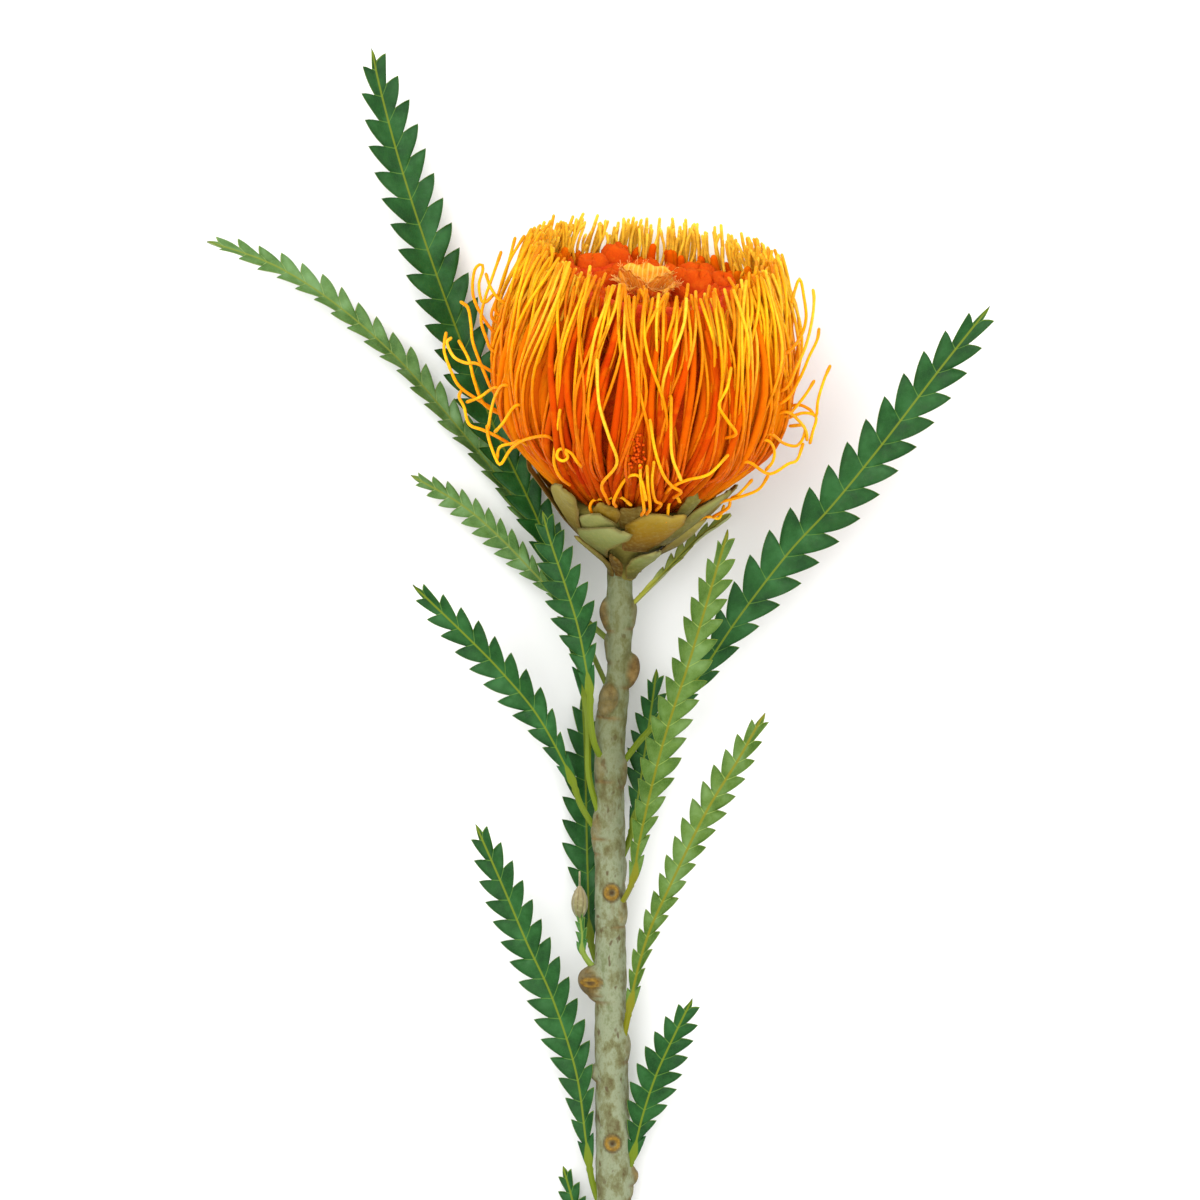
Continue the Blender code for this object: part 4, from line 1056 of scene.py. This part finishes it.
def bract(parts, rng, azimuths, heights, half_width, lift, gold, dried):
    """Adds one bowed bract: the wide ones end bluntly and the narrow ones in a point."""
    along = np.linspace(0, 1, BRACT_ROWS)[:, None]
    across = np.linspace(-1, 1, BRACT_COLUMNS)[None]
    phase = rng.uniform(0, math.tau, 3)
    blunt = max(half_width, 1.6)
    outline = np.minimum(1, 0.5 + 0.8 * along) * (1 - np.minimum(along, 0.995) ** blunt) ** 0.5
    ragged = 1 + 0.05 * np.sin(along * 23 + phase[0]) * along
    share = across * outline * ragged
    height = heights[0] + (heights[1] - heights[0]) * along
    height = height + 0.5 * np.sin(share * 5 + phase[1]) * along**3
    bare = along_profile(CUP_PROFILE, height)
    layer = np.clip(13 - heights[0], 0, 13) * 0.09
    radius = bare + (layer + BRACT_TILT * share) * np.minimum(1, along * 3) + lift * along**3
    curl = 0.45 * np.sin(across * 3.3 + phase[2] + along * 3) * along
    radius = np.maximum(radius + curl + 0.5 * (1 - share**2) * along, bare + 0.1)
    aside = np.degrees(share * half_width / (bare + 1.5))
    azimuth = azimuths[0] + (azimuths[1] - azimuths[0]) * along + aside
    sheet = in_head(height, radius, azimuth)
    tone = tones(along * (1 - dried), np.maximum(abs(across), along**4), gold)
    shell(parts, above_floor(sheet, BRACT_THICKNESS), BRACT_THICKNESS, tone)


def bracts(rng, look):
    """The cup: a solid base that grows out of the stem, and the bracts over it."""
    parts = Parts()
    base = [(-3.0, 0), (-3.0, 2.4), (-1.8, 3.2), (0, 3.8), (1.5, 4.3)]
    base += [(h, r - CUP_BASE_INSET) for h, r in CUP_PROFILE if 3 < h <= CUP_TOP] + [(CUP_TOP, 0)]
    turned(parts, base, CUP_SIDES, (0.45, 0.2, 0.3, 1))
    for root, tip, low, high, half_width, lift, gold, dried in SEEN_BRACTS:
        bract(parts, rng, (root, tip), (low, high), half_width, lift, gold, dried)
    for number, low, high in HIDDEN_ROWS:
        for index in range(number):
            azimuth = HIDDEN_START + HIDDEN_SPAN * (index + 0.5) / number
            half_width = HIDDEN_COVER / number * math.radians(along_profile(CUP_PROFILE, (low + high) / 2))
            tip = azimuth + rng.uniform(-8, 8)
            bract(parts, rng, (azimuth, tip), (low, high), half_width, 1.2, rng.random(), 0.2)
    parts.piece("involucre_fine", look, "involucre_bracts", "involucre_bracts")


def tuft(rng, look, hairs):
    """Woolly bracts in the dimple, with hairs along them."""
    parts, down = Parts(), Parts()
    along = np.linspace(0, 1, TUFT_ROWS)[:, None]
    across = np.linspace(-1, 1, TUFT_COLUMNS)[None]
    seat = [(0, 0), (0, 4.5), (1.2, 4.5), (3, 1), (3.2, 0)]
    turned(parts, [(TUFT_SEAT + height, radius) for height, radius in seat], 24, (0.2, 0.5, 0.5, 1))
    for number, length, half_width, degrees in TUFT_BRACTS:
        tilt = math.radians(degrees)
        for index in range(number):
            azimuth = 360 * (index - 0.5 * (number == 3)) / number + random.uniform(-6, 6)
            reach = 0.6 + length * along * math.sin(tilt) + 0.8 * along**2
            height = TUFT_SEAT + 1 + length * along * math.cos(tilt) - 0.9 * across**2 * along
            share = across * (0.45 + 0.85 * along**0.8) * (1 - 0.25 * along**6)
            ripple = 0.35 * np.sin(across * 9 + index) * along
            sheet = in_head(height + ripple, reach - 0.9 * share**2, azimuth + 0 * share)
            sheet = sheet + (share * half_width)[..., None] * outward(azimuth + 90.0) + HEAD[0] * TUFT_ASIDE
            fibres = 0.5 + 0.5 * np.sin(across * 34 + 2 * np.sin(along * 4 + index))
            shell(parts, sheet, TUFT_THICKNESS, tones(along, np.maximum(abs(across), along**3), fibres))
            for _ in range(TUFT_HAIRS):
                row = rng.integers(3, TUFT_ROWS)
                column = rng.integers(0, TUFT_COLUMNS)
                foot = sheet[row, column]
                lead = unit(sheet[row] - sheet[row - 1])[column]
                way = unit(lead + rng.normal(0, 0.45, 3) + 0.2 * HEAD[2])
                size = rng.uniform(0.8, 2.2)
                lean = rng.normal(0, 0.25, 3) * size * 0.5
                bent = [foot, foot + way * size * 0.5, foot + way * size + lean]
                strand(down, bent, TUFT_HAIR_RADIUS, 5, rng.random(), sides=3, swell=0)
    parts.piece("woolly_bracts", look, "centre_bracts", "centre_bracts")
    down.piece("woolly_hairs", hairs, "centre_bracts", "centre_bracts")


def stem_line():
    """The stem's centre line and radius, its last stretch turned into the head's axis."""
    route = list(STEM_ROUTE)
    aside = HEAD[0] * STEM_END_OFFSET
    for back, radius in ((3.0, 3.3), (0.3, 3.5)):
        route.append((*(np.array(NECK) - HEAD[2] * back + aside), radius))
    return Path(route)


def stem_axes(path, mark):
    """The directions right of the stem and up from it at a mark."""
    forward = path.direction(mark)
    right = unit(np.cross(forward, UP))
    return right, np.cross(right, forward)


def stem_mark(path, y):
    """The distance along the stem at which it reaches this y."""
    marks = np.linspace(0, path.length, 401)
    return marks[np.argmin(abs(path.at(marks)[:, 1] - y))]


def on_stem(path, y, angle, out=0.0):
    """A point on the stem's skin, or this far outside it."""
    mark = stem_mark(path, y)
    right, upward = stem_axes(path, mark)
    turn = math.radians(angle)
    centre = path.at(mark)
    return centre[:3] + (right * math.cos(turn) + upward * math.sin(turn)) * (centre[3] + out)


def stem_relief(path, marks, angles):
    """Radius and tone of the skin, swollen at its buds and leaf feet and ringed at its scars."""
    samples = path.at(marks)
    turn = np.radians(angles)[None]
    radius = samples[:, 3:] * (1 + 0.02 * np.sin(marks[:, None] * 0.35 + 2 * turn))
    radius = radius + 0.06 * np.sin(marks[:, None] * 1.1 + 5 * turn)
    grown, ring, hole = np.zeros((3, *radius.shape))

    def offsets(y, angle):
        """How far each point of the skin lies ahead of a place on the stem, and beside it."""
        ahead = marks[:, None] - stem_mark(path, y)
        aside = wrapped(angles[None] - angle)
        return ahead, np.radians(aside) * samples[:, 3:]

    collars = [(leaf["foot"][0] - COLLAR_BACK, leaf["foot"][1], *COLLAR_SIZE) for leaf in LEAVES.values()]
    for y, angle, length, width, height, brown in BUDS + collars:
        ahead, aside = offsets(y, angle)
        reach = (ahead / length) ** 2 + (aside / width) ** 2
        swell = np.clip(1 - reach, 0, 1) ** 0.62 * (1 + 0.3 * ahead / length)
        radius = radius + height * swell
        grown = np.maximum(grown, np.clip(2.4 - 2.2 * reach, 0, 1) * brown)
        crease = bell(ahead + length * 0.95, 0.5) * bell(aside, width * 1.6, 4)
        radius = radius - 0.12 * crease
        grown = np.maximum(grown, 0.85 * crease)
    for y, angle, size in SCARS:
        ahead, aside = offsets(y, angle)
        away = np.sqrt(ahead**2 + aside**2) / size
        lip = bell(away - SCAR_RADIUS * 0.72, 0.42)
        radius = radius + 0.75 * lip + 0.25 * bell(away, 0.7)
        ring = np.maximum(ring, bell(away - SCAR_RADIUS * 0.7, 0.8, 4))
        hole = np.maximum(hole, bell(away, 0.85, 4))
        hole = np.maximum(hole, 0.7 * bell(away - SCAR_RADIUS * 1.12, 0.3))
        tail = bell(aside, 0.9 + 0.12 * ahead) * np.clip(1 + ahead / 6, 0, 1) * (ahead < -1)
        grown = np.maximum(grown, 0.75 * tail)
    return radius, tones(grown, ring, hole, np.clip((160 - samples[:, 1:2]) / 45, 0, 1))


def stem(path, look):
    """The stem's skin and the cut wood at its ends."""
    marks = np.linspace(0, path.length, STEM_RINGS)
    angles = np.arange(STEM_SIDES) * 360 / STEM_SIDES
    radius, tone = stem_relief(path, marks, angles)
    right, upward = stem_axes(path, marks)
    turn = np.radians(angles)[None, :, None]
    way = np.cos(turn) * right[:, None] + np.sin(turn) * upward[:, None]
    centres = path.at(marks)[:, :3]
    points = above_floor(centres[:, None] + way * radius[..., None], SOLID_GAP)
    parts = Parts()
    parts.add(points, grid_faces(STEM_RINGS, STEM_SIDES, closed=True), tone)
    shares, reliefs, wood = [np.array(column, float) for column in zip(*CUT_RINGS)]
    for row, outwards in ((0, -1), (STEM_RINGS - 1, 1)):
        disc = centres[row] + (points[row] - centres[row])[None] * shares[:, None, None]
        disc = disc + path.direction(marks[row]) * (outwards * CUT_RELIEF * reliefs)[:, None, None]
        faces = grid_faces(len(shares), STEM_SIDES, closed=True)
        parts.add(disc, faces[:, ::outwards], np.repeat(wood, STEM_SIDES, axis=0))
    parts.piece("stem_bark", look, "stem", "stem")


def lobe_width(spec, index, lobes):
    """Half width of the blade at a lobe counted from the base, or between two of them."""
    growing = spec.get("growing", GROWING_SHARE)
    base = np.minimum(1.0, BASE_SHARE + (1 - BASE_SHARE) * index / lobes / growing)
    return spec["half_width"] * (base * (1 - TIP_TAPER ** (lobes - index)))


def cut_reach(spec, index, lobes):
    """How far the cut before a lobe stays from the midrib."""
    return max(lobe_width(spec, index - 0.5, lobes) * SINUS_DEPTH, PETIOLE_HALF_WIDTH)


def lobe_outline(spec, stations, pitch, lobes, shift):
    """Where each row of the blade meets its edge: distances along and across, lobe by lobe."""
    share = np.linspace(0, 1, LOBE_ROWS, endpoint=False)
    rise = np.clip(share / LOBE_TURN, 0, 1)
    fall = np.clip((share - LOBE_TURN) / (1 - LOBE_TURN), 0, 1)
    falling = share > LOBE_TURN
    convex = 0.5 * np.sin(rise * math.pi / 2) + 0.5 * rise
    rows = []
    for index in range(lobes):
        width = lobe_width(spec, index, lobes)
        low, high = cut_reach(spec, index, lobes), cut_reach(spec, index + 1, lobes)
        near = stations[index] + (SINUS_SLANT * low + shift if index else 0)
        far = stations[index + 1] + SINUS_SLANT * high + shift
        tip = stations[index] + SINUS_SLANT * SINUS_DEPTH * width + shift + (1 + LOBE_REACH) * pitch
        across = low + (width - low) * convex + (high - width) * fall**0.8 * falling
        ahead = near + (tip - near) * rise**1.08 + (far - tip) * fall**1.25 * falling
        rows.append(np.stack([ahead, across], axis=-1))
    return np.vstack(rows)


def leaf_edges(spec, length):
    """The rows' distances along the midrib, their place in a lobe, the pitch, and both edges."""
    petiole = spec["petiole"]
    lobes = round((length - petiole) / spec["spacing"])
    pitch = (length - petiole) / (lobes + END_SHARE)
    stations = petiole + pitch * np.arange(lobes + 2)
    stalk = np.linspace(0, petiole, STALK_ROWS, endpoint=False)
    bare = np.stack([stalk, np.full(STALK_ROWS, PETIOLE_HALF_WIDTH)], axis=-1)
    bare[-1, 1] = PETIOLE_HALF_WIDTH * 1.2
    columns = np.arange(lobes * LOBE_ROWS) / LOBE_ROWS
    ending = np.linspace(petiole + pitch * lobes, length, TIP_ROWS)
    middle = np.concatenate([stalk, petiole + pitch * columns, ending])
    cell = np.concatenate([np.full(STALK_ROWS, 0.5), columns % 1, np.linspace(0, 0.5, TIP_ROWS)])
    share = np.linspace(0, 1, TIP_ROWS)
    last = cut_reach(spec, lobes, lobes)
    edges = []
    for shift in (0, LOBE_STAGGER * pitch):
        start = stations[lobes] + SINUS_SLANT * last + shift
        tip = np.stack([start + (length - start) * share, last * (1 - share**1.6) + 0.02], axis=-1)
        edges.append(np.vstack([bare, lobe_outline(spec, stations, pitch, lobes, shift), tip]))
    return middle, cell, pitch, edges


def half_leaf(path, spec, side, edge, middle, cell, pitch, phase):
    """Front, back and tone of one half of the blade, from the midrib outwards; side is -1 or 1."""
    fold = math.radians(spec["fold"])
    reach = edge[:, 1:]
    inner = np.minimum(0.75, reach * 0.6)
    across = np.hstack([inner * RIB_SHARES, inner + (reach - inner) * BLADE_SHARES])
    share = across / reach
    ahead = middle[:, None] + (edge[:, 0] - middle)[:, None] * share**1.15
    direction = path.direction(np.clip(ahead, 0, path.length - 1))
    sideways = unit(np.cross(direction, np.array(spec["face"], float)))
    normal = np.cross(sideways, direction)
    points = path.at(ahead) + sideways * (side * across * math.cos(fold))[..., None]
    points = points + normal * (across * math.sin(fold))[..., None]
    leafy = np.clip((middle - spec["petiole"]) / 6, 0, 1)[:, None]
    dome = np.sin(np.clip(cell, 0, 1) * math.pi)[:, None] * np.clip(share * 1.6, 0, 1)
    ripple = 0.5 * np.sin(ahead * 0.21 + phase[0]) * share**2
    ripple = ripple + 0.35 * np.sin(ahead * 0.47 + phase[1] * side) * share**3
    lift = leafy * (0.38 * dome + ripple)
    rib = bell(across, 0.42)
    rim = reach - across
    thin = np.clip(rim / 0.5, 0, 1) ** 0.5
    half = BLADE_HALF_THICKNESS + (RIB_HALF_THICKNESS - BLADE_HALF_THICKNESS) * rib
    half = half * (0.12 + 0.88 * thin)
    front = points + normal * (lift + half - 0.22 * rib * leafy)[..., None]
    back = points + normal * (lift - half)[..., None]
    far = np.where(leafy < 1, 9.0, np.minimum(cell, 1 - cell)[:, None] * pitch)
    off_rib = np.clip(across - 1.2 * (1 - leafy), 0, None)
    return front, back, tones(off_rib / 10, far / 10, np.where(leafy < 1, 0.5, rim / 10))


def leaf(name, line, rng, look, slot):
    """A leaf as one closed blade: petiole, then lobes cut towards the midrib, with its folds and veins."""
    spec = LEAVES[name]
    path = Path([on_stem(line, *spec["foot"], out=-ROOT_DEPTH), *spec["route"]])
    middle, cell, pitch, edges = leaf_edges(spec, path.length)
    phase = rng.uniform(0, 6, 4)
    halves = [
        half_leaf(path, spec, side, edge, middle, cell, pitch, phase)
        for side, edge in zip((-1, 1), edges)
    ]
    # The left half is mirrored, and the midrib's column is kept once
    front, back, tone = [np.concatenate([left[:, :0:-1], right], axis=1) for left, right in zip(*halves)]
    under = tone.copy()
    under[..., 3] = UNDERSIDE
    parts = Parts()
    closed_sheet(parts, above_floor(front, LEAF_GAP), above_floor(back, FLOOR_GAP), tone, under)
    parts.piece(name + "_fine", look, slot, name)


def shoot_bud(look):
    """The downy bud on the side shoot, ribbed along its length."""
    parts = Parts()
    rows, sides = 28, 40
    share = np.linspace(0.01, 0.99, rows)[:, None]
    turn = np.linspace(0, math.tau, sides, endpoint=False)[None]
    swell = np.sin(share * math.pi) ** 0.72 * (1 - 0.18 * share)
    ridge = 1 + 0.07 * np.cos(turn * 8 + share * 2)
    along = (share * 2 - 1) * SHOOT_BUD_SIZE[1]
    x = SHOOT_BUD[0] + SHOOT_BUD_SIZE[0] * swell * ridge * np.cos(turn)
    z = SHOOT_BUD[2] + SHOOT_BUD_SIZE[2] * swell * ridge * np.sin(turn)
    points = np.stack([x, SHOOT_BUD[1] + along + 0 * turn, z], axis=-1)
    groove = (np.cos(turn * 8 + share * 2) + 1) / 2
    parts.add(points, grid_faces(rows, sides, closed=True), tones(share, groove, groove))
    spike = [np.array(SHOOT_BUD) + np.array([0, d, 0.15 * d - 0.6]) for d in (4.4, 6.0, 8.0)]
    strand(parts, spike, 0.28, 8, 0.9, 0.2, swell=1.5, reference=UP)
    parts.piece("shoot_bud", look, "side_shoot", "side_shoot")


def area_light(name, place, size, power):
    """A square lamp that faces the part."""
    data = bpy.data.lights.new(name, "AREA")
    data.energy = power
    data.size = size
    made = placed(name, data)
    made.location = place
    made.rotation_mode = "QUATERNION"
    way = np.array(LIGHT_TARGET) - np.array(place)
    made.rotation_quaternion = Vector(way).to_track_quat("-Z", "Y")


def studio():
    """A pale floor, soft light from above left and a camera where the photograph was taken."""
    mesh = bpy.data.meshes.new("floor")
    corners = [(-1, -1), (1, -1), (1, 1), (-1, 1)]
    mesh.from_pydata([(x * FLOOR_SIDE, y * FLOOR_SIDE, 0) for x, y in corners], [], [(0, 1, 2, 3)])
    mesh.materials.append(floor_look())
    floor = placed("floor", mesh)
    for light in LIGHTS:
        area_light(*light)
    world = bpy.data.worlds.new("studio")
    world.use_nodes = True
    background = world.node_tree.nodes["Background"]
    background.inputs["Color"].default_value = (1, 1, 1, 1)
    background.inputs["Strength"].default_value = SKY_STRENGTH
    scene = bpy.context.scene
    scene.world = world
    scene.view_settings.view_transform = "Standard"

    data = bpy.data.cameras.new("camera")
    data.lens = LENS
    data.sensor_width = SENSOR
    data.clip_end = FAR_CLIP
    scene.camera = placed("camera", data)
    scene.camera.location = tuple((np.array(CAMERA) + SHIFT) * MM)


def main():
    """Builds every piece, then the studio; the order fixes what each random draw is used for."""
    random.seed(SEED)
    rng = np.random.default_rng(SEED)
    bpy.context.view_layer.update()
    line = stem_line()
    styled = style_look()
    bracts(rng, bract_look())
    hairs = hair_look("tuft_hair", (230, 140, 40), (250, 204, 116))
    tuft(rng, tuft_look(), hairs)
    head_core(rng, core_look())
    perianths(rng, perianth_look())
    limb_material = limb_look()
    limbs(rng, limb_material, hair_look("limb_hair", (190, 44, 0), (222, 96, 16)))
    for name in STYLE_FAMILIES:
        styles(name, rng, styled)
    strays(rng, styled)
    stem(line, stem_look())
    looks = {kind: leaf_look(kind) for kind in LEAF_COLOURS}
    for name in LEAVES:
        slot = "side_shoot" if name == "side_shoot" else "pale_leaf" if name in PALE_LEAVES else "dark_leaf"
        leaf(name, line, rng, looks[OTHER_LOOKS.get(name, slot)], slot)
    shoot_bud(shoot_bud_look())
    red_cluster(rng, limb_material)
    studio()


HEAD = head_axes()
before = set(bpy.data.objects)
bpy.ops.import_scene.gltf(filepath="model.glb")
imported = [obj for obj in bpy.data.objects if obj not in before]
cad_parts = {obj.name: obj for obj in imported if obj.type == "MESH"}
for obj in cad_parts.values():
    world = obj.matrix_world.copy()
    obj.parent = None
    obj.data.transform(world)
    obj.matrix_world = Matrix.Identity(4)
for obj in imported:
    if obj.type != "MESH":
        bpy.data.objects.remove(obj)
main()
